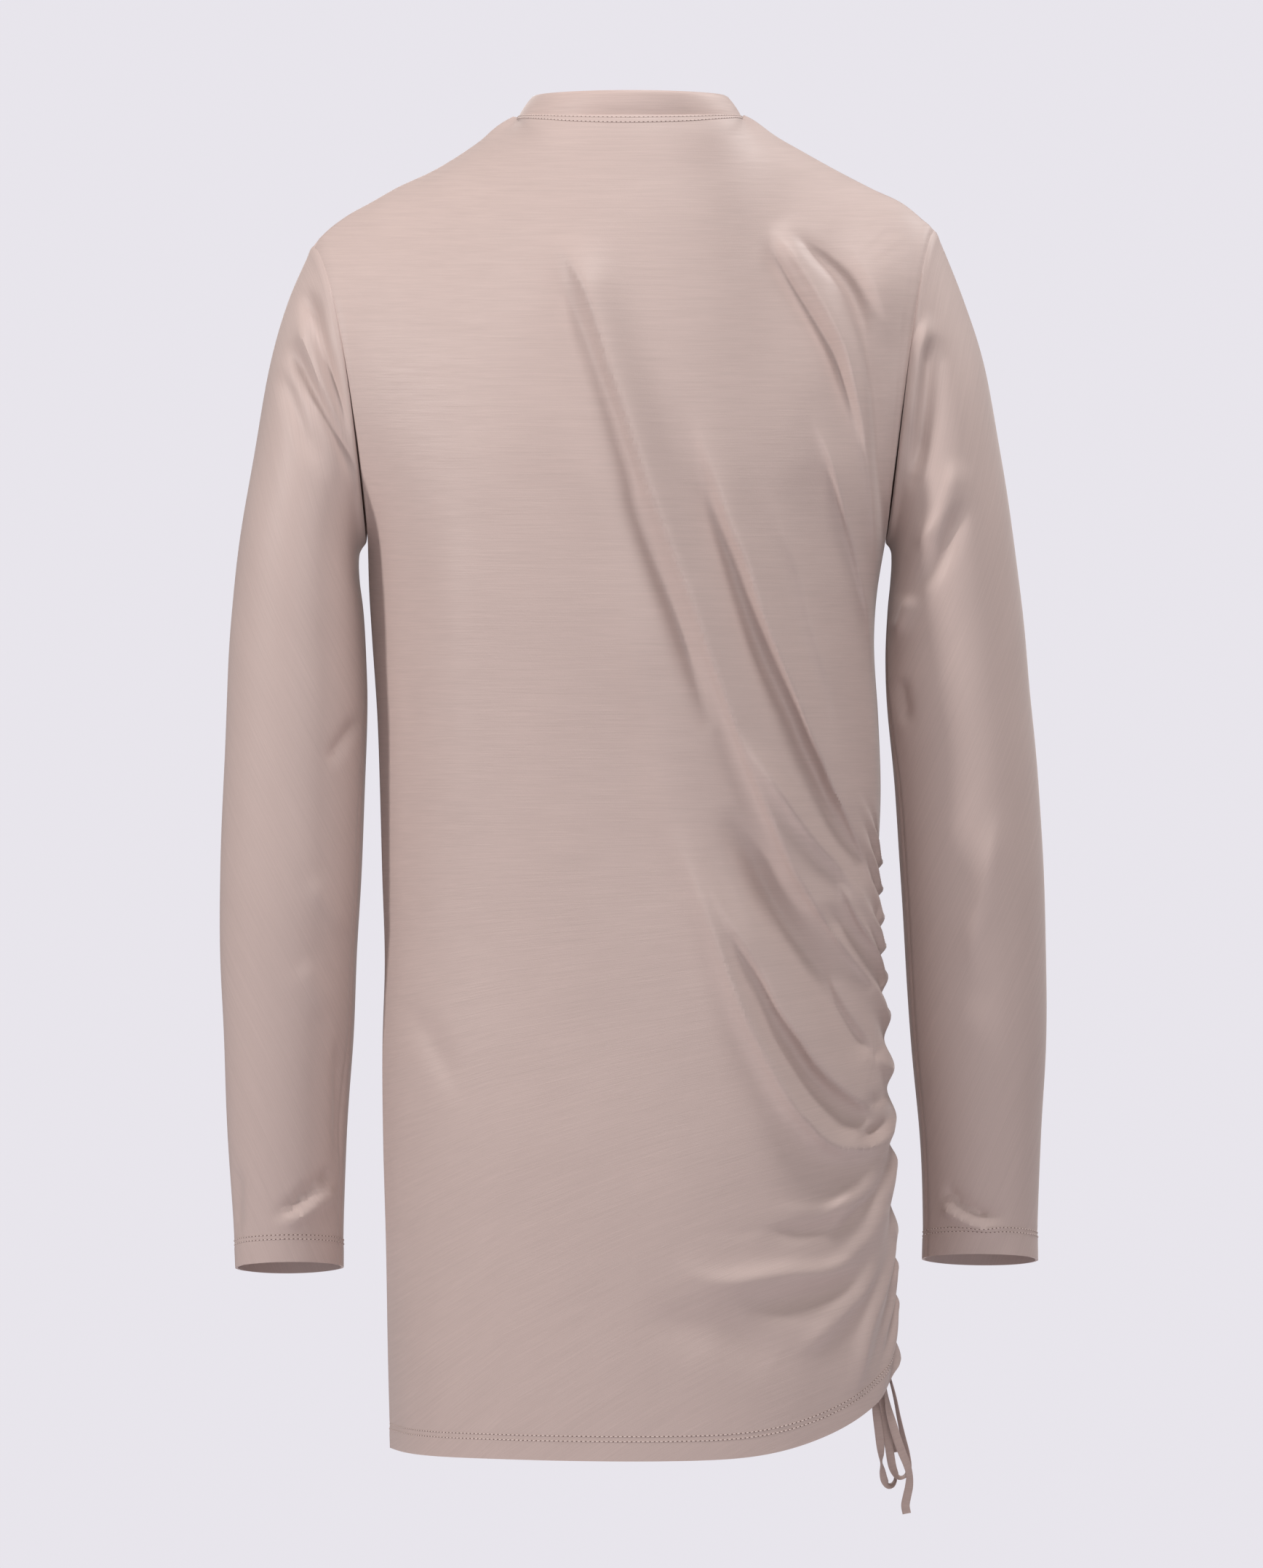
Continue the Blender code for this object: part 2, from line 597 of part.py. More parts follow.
def rows_down():
    """Where the panels' rows stand: even above the gathers, then on each crest, hollow and slope."""
    waves = sorted(list(HOLLOWS) + list(CRESTS), reverse=True)
    halves = [(a + b) / 2 for a, b in zip(waves, waves[1:])]
    seam = sorted(waves + halves, reverse=True)
    fall = (np.array(seam) - ARMPIT) / (hem_height(1.0) - ARMPIT)
    fall[-1] = 1
    above = np.linspace(0, 1, ARMHOLE_ROWS + 1)
    plain = 1 + np.linspace(0, fall[0], PLAIN_ROWS + 1)
    return np.concatenate([above[:-1], plain[:-1], 1 + fall])


def panel(name, face, fine_from):
    across, down = np.meshgrid(columns_across(), rows_down())
    points = folded_panel(face, across, down)
    piece = Piece(name, points, grid_normals(points, face), WALL)
    piece.coarse_from = ARMHOLE_ROWS + PLAIN_ROWS
    piece.coarse_step = ROWS_PER_GATHER
    piece.coarse_to = fine_from
    return piece


def sleeve(name, side):
    points = folded_sleeve(side)
    return Piece(name, points, grid_normals(points, around=True), WALL, around=True)


def casing(back, front):
    """The drawstring channel: a strip inside the gathered seam, on the panels' own points moved in."""
    first = ARMHOLE_ROWS + PLAIN_ROWS
    last = back.points.shape[0] - 2
    rows = range(first, last + 1)
    points, normals = [], []
    for r in rows:
        cells = [(back, (r, -2)), (back, (r, -1)), (front, (r, -2))]
        normals.append([piece.normals[cell] for piece, cell in cells])
        points.append([piece.points[cell] - piece.normals[cell] * (WALL + SEAM_INSET * 2) for piece, cell in cells])
    points, normals = np.array(points), np.array(normals)
    middle = points[:, 1:2]
    narrowed = middle + (points - middle) * 0.8
    return Piece("drawstring_casing", narrowed, normals, 1.0)


def knot():
    """The bow's knot: a round bundle, level below where the tapes leave, its top up to the channel."""
    body = bmesh.new()
    bmesh.ops.create_uvsphere(body, u_segments=14, v_segments=8, radius=1)
    for vertex in body.verts:
        x, y, z = vertex.co
        swell = 1 + 0.06 * math.cos(3 * math.atan2(y, x) + 2 * z)
        rise = max(z, 0) ** 3
        x = x * swell * KNOT_HALF[0] + rise * KNOT_NECK[0]
        z = max(z, -0.74) / 0.74 * KNOT_HALF[2] + rise * KNOT_NECK[1]
        vertex.co = (Vector((x, y * swell * KNOT_HALF[1], z)) + Vector(KNOT_MIDDLE)) * MM
    return finished("drawstring_knot", body, (0.45, 0.35, 0.32))


def tape(name, route):
    """A stretch of flat tape along its route, turned as the route says."""
    route = np.asarray(route, float)
    tangents = unit(np.gradient(route[:, :3], axis=0))
    body = bmesh.new()
    rings = []
    for (x, y, z, turn), tangent in zip(route, tangents):
        edge_on = unit(np.array([0, 1, 0]) - tangent * tangent[1])
        broad = np.cross(tangent, edge_on)
        angle = math.radians(turn)
        width = broad * math.cos(angle) + edge_on * math.sin(angle)
        thick = np.cross(tangent, width) * TAPE_THICKNESS / 2
        width = width * TAPE_WIDTH / 2
        middle = np.array([x, y, z])
        corners = (middle - width - thick, middle + width - thick, middle + width + thick, middle - width + thick)
        if len(rings) == 0 or (name.startswith("tape_loop") and len(rings) == len(route) - 1):
            corners = [np.array([corner[0], corner[1], z]) for corner in corners]
        rings.append([body.verts.new(Vector(corner * MM)) for corner in corners])
    for ring, following in zip(rings, rings[1:]):
        for i in range(4):
            j = (i + 1) % 4
            body.faces.new([ring[i], ring[j], following[j], following[i]])
    body.faces.new(rings[0][::-1])
    body.faces.new(rings[-1])
    return finished(name, body, (0.45, 0.35, 0.32))


def main():
    for item in list(bpy.data.objects):
        bpy.data.objects.remove(item)
    back = panel("back_panel", BACK, LEFT_COLUMNS + NECK_COLUMNS // 2)
    front = panel("front_panel", FRONT, LEFT_COLUMNS + NECK_COLUMNS)
    left = sleeve("sleeve_left", -1)
    right = sleeve("sleeve_right", 1)
    rings = band_rings()
    band = Piece("neckband", rings, grid_normals(rings, around=True), BAND_WALL, around=True)
    pieces = [back, front, left, right, band]
    share_normals(pieces)
    for piece in pieces:
        inset_seams(piece)
    dusk = (0.50, 0.40, 0.37)
    for piece in pieces:
        sewn(piece, dusk)
    sewn(casing(back, front), (0.42, 0.33, 0.31))
    knot()
    for name, route in TAPES.items():
        tape(name, route)


main()
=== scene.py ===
"""Looks of the long drape top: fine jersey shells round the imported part, its stitching, tape, light and view.

The part's frame: metres, +Z up, the garment's back towards -Y, its gathered side towards +X. Tables and
lengths below are in millimetres unless they say otherwise, and repeat the part's own sizes.
"""

import math
from collections import namedtuple

import bpy
import numpy as np
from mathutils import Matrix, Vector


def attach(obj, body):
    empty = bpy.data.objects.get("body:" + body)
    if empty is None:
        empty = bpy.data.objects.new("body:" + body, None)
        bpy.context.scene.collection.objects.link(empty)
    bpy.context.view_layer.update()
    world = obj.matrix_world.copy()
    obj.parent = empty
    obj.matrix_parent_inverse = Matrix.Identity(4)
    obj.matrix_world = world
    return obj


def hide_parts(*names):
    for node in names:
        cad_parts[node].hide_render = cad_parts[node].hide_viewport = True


MM = 0.001
BACK, FRONT = -1, 1

# The trunk from the armpits down: half widths to left and right, depths to back and front
Section = namedtuple("Section", "height left right back front")
TRUNK = (
    Section(-262, 160.5, 155.5, 103, 113),
    Section(-290, 159.8, 150.6, 104, 117),
    Section(-316, 158.2, 148.7, 104, 119),
    Section(-369, 154.6, 151.4, 103, 117),
    Section(-409, 153.2, 152.8, 102, 113),
    Section(-463, 151.8, 151.4, 102, 109),
    Section(-516, 150.2, 154.0, 104, 107),
    Section(-569, 151.6, 157.6, 106, 108),
    Section(-623, 151.2, 160.0, 108, 110),
    Section(-690, 149.4, 160.8, 108, 112),
    Section(-756, 148.2, 162.0, 107, 112),
    Section(-812, 146.8, 163.0, 106, 112),
)
TRUNK_FULLNESS = 2.25
TRUNK_USUAL = (155, 106)
HALF_GIRTH = 215
ARMPIT = -262

# Shoulder seams, from the neck outwards: distance from the middle, and height
SHOULDER_LEFT = (
    (68, 2), (76, -2), (82, -6), (91, -14), (98, -19), (118, -31.5), (145, -44.5), (157, -51.5),
    (176, -62.5), (186, -70.5), (193.5, -79),
)
SHOULDER_RIGHT = (
    (68, 2), (75, -1.5), (80, -5), (86, -9.5), (93, -14), (101, -18.5), (126, -32.5), (148, -44),
    (168, -54), (186, -69.5),
)
SHOULDER_FORWARD = 6

# Neckline: half width, then depth and drop at the centre back and the centre front
NECK_HALF = 68
NECK_DEPTH = {BACK: 58, FRONT: 80}
NECK_DROP = {BACK: 6, FRONT: 84}
NECK_ROUND = {BACK: 1.4, FRONT: 1.05}
NECK_SHARE = 0.36

# Handles of the curve between the armpits and the upper edge, as (across, deep, up): the lower one at the
# middle, the upper ones at the middle and beside the neckline, then those at the left and right seams
HANDLES = {BACK: ((0, 5, 84), (0, 28, -56), (5, 66, -22)), FRONT: ((0, -1, 58), (0, 17, -50), (5, 36, -20))}
SEAM_UP = ((-1.5, 61, 22), (2.5, 61, 22))
SEAM_DOWN = ((-20.5, 61, -26), (-15.0, 61, -26))
SETTLE_STEPS, SETTLE_SHARE = 200, 0.48

# Neckband: how it rises from the neckline at the back, the sides and the front (inwards, up)
BAND_BACK, BAND_SIDE, BAND_FRONT = (1.0, 14.0), (9.0, 12.5), (5.0, 12.6)

# Hem: its level, and how the drawstring lifts it towards the gathered seam
HEM = -808
HEM_DROP = 5
HEM_LIFT = 52
HEM_LIFT_FROM = 0.30
HEM_LIFT_POWER = 1.5

# Sleeves from armhole to cuff: outer and inner edge seen from the back, middle's depth, half depth
Ring = namedtuple("Ring", "outer_x outer_z inner_x inner_z forward depth")
SLEEVE_LEFT = (
    Ring(193.5, -82, 160.5, -262, 0, 46),
    Ring(208.5, -116, 163.8, -264.5, 0, 48),
    Ring(220.0, -156, 165.6, -272, 0, 50),
    Ring(230.0, -209, 165.2, -285, 0, 51),
    Ring(238.5, -262, 162.8, -304, 0, 51),
    Ring(243.5, -312, 161.2, -331, 1, 50),
    Ring(246.0, -356, 160.4, -361, 1, 49),
    Ring(248.2, -409, 161.4, -409, 2, 47),
    Ring(250.0, -463, 163.8, -463, 4, 45),
    Ring(250.4, -516, 167.4, -516, 9, 43),
    Ring(248.8, -569, 169.6, -569, 16, 41),
    Ring(247.0, -623, 173.6, -623, 23, 38),
    Ring(244.0, -676, 176.4, -676, 31, 35),
    Ring(243.2, -707, 177.2, -706, 35, 34),
)
SLEEVE_RIGHT = (
    Ring(186.0, -73, 155.5, -262, 0, 46),
    Ring(204.0, -116, 158.8, -264.5, 0, 48),
    Ring(216.7, -156, 159.6, -273, 0, 50),
    Ring(226.4, -209, 159.0, -286, 0, 51),
    Ring(234.6, -262, 157.4, -304, 0, 51),
    Ring(240.8, -312, 156.4, -331, 1, 50),
    Ring(244.4, -356, 157.4, -361, 1, 49),
    Ring(249.0, -409, 161.4, -409, 2, 47),
    Ring(252.6, -463, 164.8, -463, 4, 45),
    Ring(254.6, -516, 168.6, -516, 9, 43),
    Ring(254.6, -569, 172.3, -569, 16, 41),
    Ring(252.4, -623, 177.6, -623, 23, 38),
    Ring(251.6, -676, 180.4, -676, 31, 35),
    Ring(251.8, -702, 180.6, -701, 34, 34),
)
SLEEVES = {-1: SLEEVE_LEFT, 1: SLEEVE_RIGHT}

# Folds, seen by the camera. rise: how far the crest stands proud, at even steps along it; upper and lower:
# spread above or right of the line and below or left of it; crisp: 1 for a sharp crest, 0 for a rounded one;
# start and end: shares of the line that fade in and out; line: across and height of each point in turn
Fold = namedtuple("Fold", "rise upper lower crisp start end line")
BACK_FOLDS = (
    # From the left of the neck down to the gathered seam, with the hollow along its left
    Fold((9, 11, 11, 9.5, 9), 18, 4, 0.9, 0.08, 0.06, (-47, -74, -37, -87, -28, -105, -19, -130, -13, -152,
        -5, -176, 3, -201, 11, -225, 21, -252, 30, -276, 40, -303, 48, -327, 57, -352, 66, -377, 78, -408,
        88, -432, 100, -460, 109, -475, 119, -490, 128, -503, 138, -516, 154, -535, 163, -544)),
    Fold((-3.5, -3, -3.5, -5, -5), 4.5, 7, 0.2, 0.15, 0.2, (-49, -87, -42, -103, -34, -121, -26, -141,
        -18, -161, -10, -181, -5, -198, 1, -218, 4, -238, 10, -256, 18, -278, 27, -303, 34, -325, 42, -349,
        47, -369)),
    Fold((-8, -13, -11, -9), 11, 9, 0.3, 0.3, 0.06, (57, -418, 64, -436, 74, -454, 83, -473, 94, -492,
        104, -507, 116, -525, 125, -540, 133, -553, 141, -565, 148, -571)),
    # The long soft fold that sharpens and turns round above the hip
    Fold((2.5, 2.5, 4.5, 4, 2.5), 30, 15, 0.1, 0.25, 0.3, (-54, -154, -44, -176, -34, -201, -25, -225,
        -16, -250, -9, -272, -5, -294, 2, -321, 8, -347, 15, -369, 20, -395, 24, -420, 30, -443, 39, -466,
        48, -492, 57, -516)),
    Fold((5, 8, 12, 14, 13), 11, 7, 0.9, 0.35, 0.03, (24, -420, 30, -443, 39, -466, 48, -492, 57, -516,
        66, -540, 77, -563, 92, -591, 101, -605, 110, -615, 119, -624, 128, -629, 138, -630, 148, -628,
        156, -622, 164, -611)),
    Fold((-2, -3, -4, -3), 8, 7, 0.2, 0.3, 0.04, (51, -483, 59, -503, 70, -525, 80, -544, 91, -562,
        98, -571, 110, -588, 122, -602, 133, -612, 145, -612)),
    Fold((6, 8, 11, 10), 22, 5, 0.9, 0.3, 0.03, (44, -455, 52, -474, 59, -488, 71, -507, 82, -526, 92, -546,
        104, -563, 113, -577, 122, -587, 133, -596, 144, -603, 153, -603, 164, -596)),
    Fold((4, 6, 8), 8, 4, 0.9, 0.25, 0.04, (120, -517, 125, -532, 131, -543, 138, -554, 144, -562,
        150, -572, 155, -580, 163, -587)),
    Fold((7, 9, 6), 11, 3, 0.8, 0.3, 0.1, (126, -462, 136, -482, 141, -492, 147, -501, 153, -511,
        162, -524)),
    Fold((-7.5, -7.5, -9), 6, 7.5, 0.3, 0.3, 0.1, (116, -479, 125, -489, 132, -497, 139, -506, 147, -516,
        156, -531)),
    # The next two over the small of the back
    Fold((7.5, 10, 9, 9), 8, 5.5, 0.75, 0.3, 0.06, (66, -374, 77, -393, 86, -406, 95, -418, 105, -432,
        116, -446, 125, -455, 133, -465, 141, -475, 147, -486, 152, -497, 160, -512)),
    Fold((8, 8, 10.5, 9, 6), 15, 3, 0.85, 0.30, 0.08, (38, -172, 46, -205, 54, -227, 62, -252, 71, -272,
        77, -292, 84, -312, 92, -332, 101, -354, 110, -377, 117, -393, 123, -408, 131, -424, 138, -439,
        144, -452, 148, -466, 156, -484)),
    Fold((-3, -4, -6, -6, -5), 4.5, 7, 0.2, 0.3, 0.2, (33, -196, 42, -218, 48, -238, 56, -258, 62, -276,
        68, -296, 75, -316, 82, -334, 91, -354, 98, -369, 105, -387, 113, -403, 119, -418, 125, -433,
        132, -448)),
    # Shorter ones on the right shoulder blade
    Fold((1.5, 3, 5, 4), 14, 5, 0.6, 0.4, 0.4, (78, -215, 82, -225, 91, -243, 97, -261, 104, -281,
        109, -303, 115, -325, 122, -347, 127, -369, 132, -395)),
    Fold((-1.5, 0, 0, -0.5), 8.5, 8, 0.2, 0.4, 0.4, (77, -245, 85, -270, 93, -294, 101, -318, 107, -341,
        114, -365)),
    Fold((3, 6, 7, 6), 18, 3, 0.9, 0.25, 0.3, (110, -178, 117, -196, 123, -212, 128, -230, 133, -250,
        138, -267, 142, -285, 146, -303, 148, -321, 151, -350)),
    Fold((0, -2, -5.5), 5, 7, 0.2, 0.3, 0.3, (139, -226, 145, -256, 149, -276, 153, -300, 155, -325)),
    Fold((-0.5, -3.5, -2), 12.5, 23.5, 0.1, 0.3, 0.3, (108, -201, 115, -223, 122, -245, 127, -267,
        133, -289)),
    Fold((7.5, 10, 7, 8), 14, 5.5, 0.9, 0.12, 0.2, (85, -65, 95, -79, 104, -92, 115, -110, 124, -127,
        132, -145, 137, -165, 142, -187, 145, -210, 148, -236, 150, -265, 152, -295)),
    Fold((-3, -4.5, -4, -0.5), 3, 5.5, 0.2, 0.15, 0.25, (82, -74, 91, -92, 102, -110, 113, -127, 123, -145,
        129, -163, 134, -181, 137, -201)),
    Fold((-9.5, -5, -7.5, -7), 5.5, 3.5, 0.3, 0.15, 0.2, (95, -67, 111, -83, 124, -95, 133, -106, 139, -121,
        143, -139, 146, -156, 149, -178, 151, -210, 154, -243, 156, -280)),
    Fold((6, 7, 1.5, 4), 23.5, 9.5, 0.2, 0.35, 0.4, (122, -70, 144, -92, 156, -120, 163, -152, 164, -190)),
    # Tucks where the folds run into the gathered seam
    Fold((-7.5, -7), 6.5, 4.5, 0.3, 0.3, 0.02, (147, -577, 153, -568, 158, -564, 166, -562)),
    Fold((-8.5, -7), 6, 3.5, 0.3, 0.35, 0.02, (140, -602, 148, -603, 155, -600, 165, -594)),
    Fold((-10.5, -7), 3, 5.5, 0.3, 0.35, 0.02, (137, -625, 147, -621, 155, -614, 165, -604)),
    # The fan below the hip
    Fold((8, 10, 8.5), 8.5, 3.5, 0.8, 0.4, 0.03, (112, -684, 125, -676, 133, -668, 141, -661, 147, -654,
        153, -643, 158, -633, 164, -620)),
    Fold((-4, -4, -4.5), 4.5, 3.5, 0.3, 0.35, 0.03, (120, -687, 128, -680, 138, -668, 145, -662, 151, -654,
        156, -643, 164, -628)),
    Fold((0, 2, 4), 4.5, 6.5, 0.2, 0.35, 0.3, (80, -668, 92, -668, 104, -669, 116, -668, 128, -664,
        138, -655)),
    Fold((-1, -3.5, -3), 3, 7, 0.2, 0.3, 0.3, (76, -681, 89, -681, 104, -681, 117, -679, 128, -671,
        134, -664)),
    Fold((0, -0.5), 3.5, 3, 0.4, 0.35, 0.35, (35, -684, 45, -683, 59, -683, 71, -682, 84, -679)),
    Fold((6, 5, 7, 9), 7, 8.5, 0.45, 0.35, 0.03, (24, -700, 42, -709, 59, -712, 77, -710, 98, -707,
        119, -706, 131, -701, 139, -692, 147, -683, 153, -671, 158, -658, 164, -642)),
    Fold((-4.5, -6, -3), 8.5, 10, 0.3, 0.3, 0.25, (66, -733, 79, -728, 92, -725, 110, -720, 128, -714,
        139, -707, 148, -695, 155, -682)),
    Fold((-0.5, 0, 0), 6, 6, 0.2, 0.3, 0.2, (98, -698, 107, -699, 119, -697, 131, -689, 141, -677,
        148, -665, 153, -650)),
    Fold((3, 6, 9, 7), 9.5, 4, 0.8, 0.4, 0.04, (92, -760, 110, -751, 119, -744, 125, -738, 133, -729,
        142, -719, 148, -708, 154, -696, 159, -683, 164, -668)),
    Fold((-2, -2.5, -4.5), 4.5, 11, 0.3, 0.35, 0.05, (104, -762, 116, -754, 128, -742, 136, -733, 145, -723,
        152, -710, 157, -696, 164, -680)),
    Fold((5, 8, 6.5), 6.5, 4, 0.8, 0.35, 0.04, (132, -790, 141, -768, 144, -756, 147, -742, 151, -729,
        156, -717, 160, -705, 165, -690)),
    Fold((-6, -3.5, -4), 2.5, 4.5, 0.3, 0.3, 0.08, (144, -770, 148, -759, 152, -744, 157, -729, 164, -710)),
    Fold((-3, -3, -4.5), 14.5, 16.5, 0.1, 0.4, 0.4, (0, -725, 30, -738, 60, -742, 90, -760)),
    # The plain left half
    Fold(-4.5, 12, 20, 0.1, 0.3, 0.35, (-134, -230, -137, -329, -136, -418, -139, -507)),
    Fold((3, 2.5, 2, 2, 2.5), 19, 12.5, 0.1, 0.3, 0.4, (-104, -215, -106, -300, -104, -400, -98, -480)),
    Fold(-3, 8, 8, 0.4, 0.35, 0.4, (-140, -538, -120, -565, -105, -596)),
)
FRONT_FOLDS = (
    Fold(9, 24, 14, 0.5, 0.3, 0.12, (-96, -150, -60, -236, -22, -318, 22, -392, 70, -446, 118, -478,
        156, -490)),
    Fold(12.8, 24, 20, 0.5, 0.4, 0.10, (-110, -262, -78, -352, -38, -436, 8, -508, 58, -562, 108, -590,
        160, -598)),
    Fold(9, 15, 12, 0.5, 0.3, 0.12, (30, -330, 62, -388, 100, -428, 138, -452, 156, -462)),
    Fold(9, 15, 13, 0.5, 0.3, 0.12, (20, -455, 62, -505, 106, -535, 158, -548)),
    Fold(9, 16, 13, 0.5, 0.35, 0.10, (-30, -580, 20, -632, 70, -655, 120, -655, 162, -636)),
    Fold(10.5, 17, 13, 0.5, 0.35, 0.10, (-20, -672, 24, -702, 74, -716, 120, -708, 162, -676)),
    Fold(9, 14, 12, 0.5, 0.35, 0.10, (30, -762, 74, -760, 116, -744, 162, -704)),
    Fold(-4.5, 12, 12, 0.3, 0.3, 0.3, (10, -640, 60, -684, 120, -684, 158, -660)),
    Fold(6, 14, 12, 0.5, 0.4, 0.4, (100, -90, 118, -150, 128, -220, 130, -300)),
    Fold(5.2, 14, 12, 0.5, 0.4, 0.4, (-100, -90, -116, -150, -124, -220, -122, -300)),
    Fold(-3.8, 16, 16, 0.3, 0.35, 0.35, (-128, -330, -130, -430, -126, -540, -120, -640)),
)
SLEEVE_LEFT_FOLDS = (
    Fold(-6.5, 7, 5, 0.3, 0.2, 0.15, (-199, -102, -192, -134, -185, -153, -174, -179, -164, -203)),
    Fold(4.5, 5, 4, 0.8, 0.25, 0.2, (-203, -118, -193, -152, -181, -182, -168, -208)),
    Fold(-6, 6, 5, 0.3, 0.2, 0.15, (-207, -136, -200, -156, -189, -175, -177, -196, -163, -224)),
    Fold(-3, 6, 5, 0.3, 0.3, 0.3, (-213, -152, -207, -174, -199, -196, -190, -214)),
    Fold(1.5, 8, 7, 0.5, 0.3, 0.3, (-196, -465, -186, -482, -174, -500)),
    Fold(1.5, 9, 8, 0.5, 0.3, 0.3, (-202, -517, -192, -535, -184, -549)),
    Fold(-3, 5, 4, 0.3, 0.3, 0.3, (-186, -397, -176, -384, -165, -368)),
    Fold(-3, 4.5, 3.5, 0.3, 0.3, 0.3, (-178, -560, -177, -600, -178, -640)),
    Fold(4, 4.5, 3.5, 0.8, 0.15, 0.3, (-180, -655, -190, -663, -201, -671, -213, -676)),
    Fold(-3.5, 4, 3.5, 0.3, 0.15, 0.3, (-180, -646, -192, -654, -204, -664, -216, -670)),
    Fold(-3, 4, 3.5, 0.3, 0.3, 0.3, (-239, -640, -240, -662, -239, -682)),
)
SLEEVE_RIGHT_FOLDS = (
    Fold(5.5, 7, 5, 0.8, 0.25, 0.25, (180, -118, 175, -140, 170, -165, 167, -195)),
    Fold(-6, 7, 5.5, 0.3, 0.2, 0.25, (184, -132, 182, -158, 178, -188, 172, -220)),
    Fold(4, 9, 7, 0.7, 0.3, 0.25, (201, -208, 194, -228, 189, -246, 176, -266)),
    Fold(-4, 6, 5, 0.3, 0.3, 0.3, (204, -232, 197, -252, 190, -270, 176, -288)),
    Fold(3.5, 5, 4, 0.8, 0.3, 0.3, (172, -292, 168, -304, 164, -318)),
    Fold(-3.5, 4.5, 3.5, 0.3, 0.3, 0.3, (164, -343, 166, -356, 169, -370)),
    Fold(2.5, 10.5, 8.5, 0.8, 0.35, 0.35, (226, -420, 216, -470, 206, -520)),
    Fold(4, 4.5, 3.5, 0.8, 0.2, 0.3, (190, -662, 198, -671, 212, -678, 228, -680)),
    Fold(-3.5, 4, 3.5, 0.3, 0.2, 0.3, (191, -655, 200, -664, 212, -670, 226, -672)),
)
SLEEVE_FOLDS = {-1: SLEEVE_LEFT_FOLDS, 1: SLEEVE_RIGHT_FOLDS}

# Gathers of the drawstring seam, from the top: heights of the hollows and of the crests between them
HOLLOWS = (-448, -462.6, -478.6, -498.6, -513.7, -536.4, -562.5, -592.3, -623.8, -659.3, -690, -711.3, -738)
CRESTS = (-455, -471.5, -488.4, -506, -524.8, -547.9, -579, -610, -636.7, -678, -700, -723, -756)
GATHER_RISE = 3.0
GATHERED_FROM = 0.70
GATHER_FULLNESS = 0.7

# The drawstring: a flat tape, and its knot inside the hem corner
TAPE_WIDTH, TAPE_THICKNESS = 5.2, 1.0
KNOT_MIDDLE = (153.4, 0.4, -763.2)
KNOT_HALF, KNOT_HEIGHT = (4.2, 5.2), 4.4
KNOT_TURNS, KNOT_STEPS, KNOT_SIDES = 3, 150, 12
TAPE_SIDES, TAPE_ROUND = 14, 0.7
TAPE_CURL, TAPE_SUNK = 0.025, 0.15

# Each stretch of tape as (across, deep, height, turn); turn 0 shows its width from behind, 90 its edge
TAPES = {
    "tape_loop_inner": (
        (149.2, -3, -768.3, 80), (149, -4.2, -779, 60), (150, -6, -790, 20), (151.4, -6.6, -801, 5),
        (152.4, -6.6, -810, 15), (153, -6.2, -816.5, 45), (153.2, -5.6, -821.8, 78),
        (153.8, -4.6, -827, 45), (155, -3, -832.4, 30), (157.4, -0.6, -836, 45), (160.4, 2.2, -835.8, 65),
        (162.2, 4, -832.4, 75), (160.8, 4.9, -826, 70), (158, 5, -816, 55), (156, 5, -804, 45),
        (154, 4.8, -790, 60), (152, 4.2, -779, 72), (150.4, 3.4, -768.3, 80),
    ),
    "tape_loop_outer": (
        (152.2, -3, -768.3, 80), (153.2, -2.6, -780, 65), (155.2, -2.2, -793, 40), (157.2, -1.8, -806, 20),
        (158.7, -1.7, -817, 10), (160.2, -1.6, -825, 20), (162.8, -1, -830.2, 50), (166, 0.4, -831.4, 75),
        (169, 2, -829.8, 70), (170.4, 3.2, -825.4, 55), (169.2, 3.8, -817, 50), (166.8, 3.8, -807, 55),
        (164.2, 3.8, -795, 65), (161.6, 3.6, -782, 72), (157.9, 3.4, -768.3, 80),
    ),
    "tape_end_long": (
        (155.2, -3, -768.3, 80), (156, -4.6, -778, 75), (157.4, -6.6, -788, 45), (159.8, -7.8, -797.5, 15),
        (162.4, -8.2, -806, 5), (165.4, -8, -814.5, 10), (168.4, -7.2, -822, 25), (170.2, -6.4, -829, 35),
        (170, -5.8, -836, 15), (168.8, -5.6, -842, 5), (167.8, -5.8, -847.6, 0), (168.6, -6.4, -852.6, 0),
    ),
    "tape_end_short": (
        (153.6, 4.2, -768.3, 85), (154.8, 8, -778, 75), (156.6, 10.4, -788, 50), (158.6, 10.8, -798, 25),
        (160.6, 10.4, -808, 5), (162, 10, -817.4, 0),
    ),
}

# Cloth: thickness, seams, and the coverstitch rows as distances from their edge
CLOTH = 0.9
TURNED = 0.7
BAND_CLOTH = 1.7
HEM_ROWS = (14.6, 11.6)
CUFF_ROWS = (17.0, 14.4)
NECK_ROWS = (3.4, 6.8)
STITCH = 1.8
STITCH_GAP = 0.9
THREAD = 0.75
# Length of the dark bars of painted shadow between the stitches
STITCH_SHADOW_LENGTH = 1.0
THREAD_FLAT = 0.4
# How far the threads and the dark bars of painted shadow sit into the cloth
THREAD_SUNK, STITCH_SHADOW_SUNK = 0.22, -0.1
STITCH_RINGS = ((-0.5, 0.35), (-0.38, 0.9), (0.38, 0.9), (0.5, 0.35))
STITCH_SIDES = 6

# The drawstring's channel: its first row of the panels' own, its columns on each panel, its cloth
CASING_FROM, CASING_HALF, CASING_CLOTH = 102, 6, 0.8

# The camera, in metres: how far it stands off, what it looks at, the height of its view there, its sensor
CAMERA_DISTANCE = 3.2
VIEW_MIDDLE = (0.0009, -0.4082)
FRAME_HEIGHT = 0.957
SENSOR = 36.0

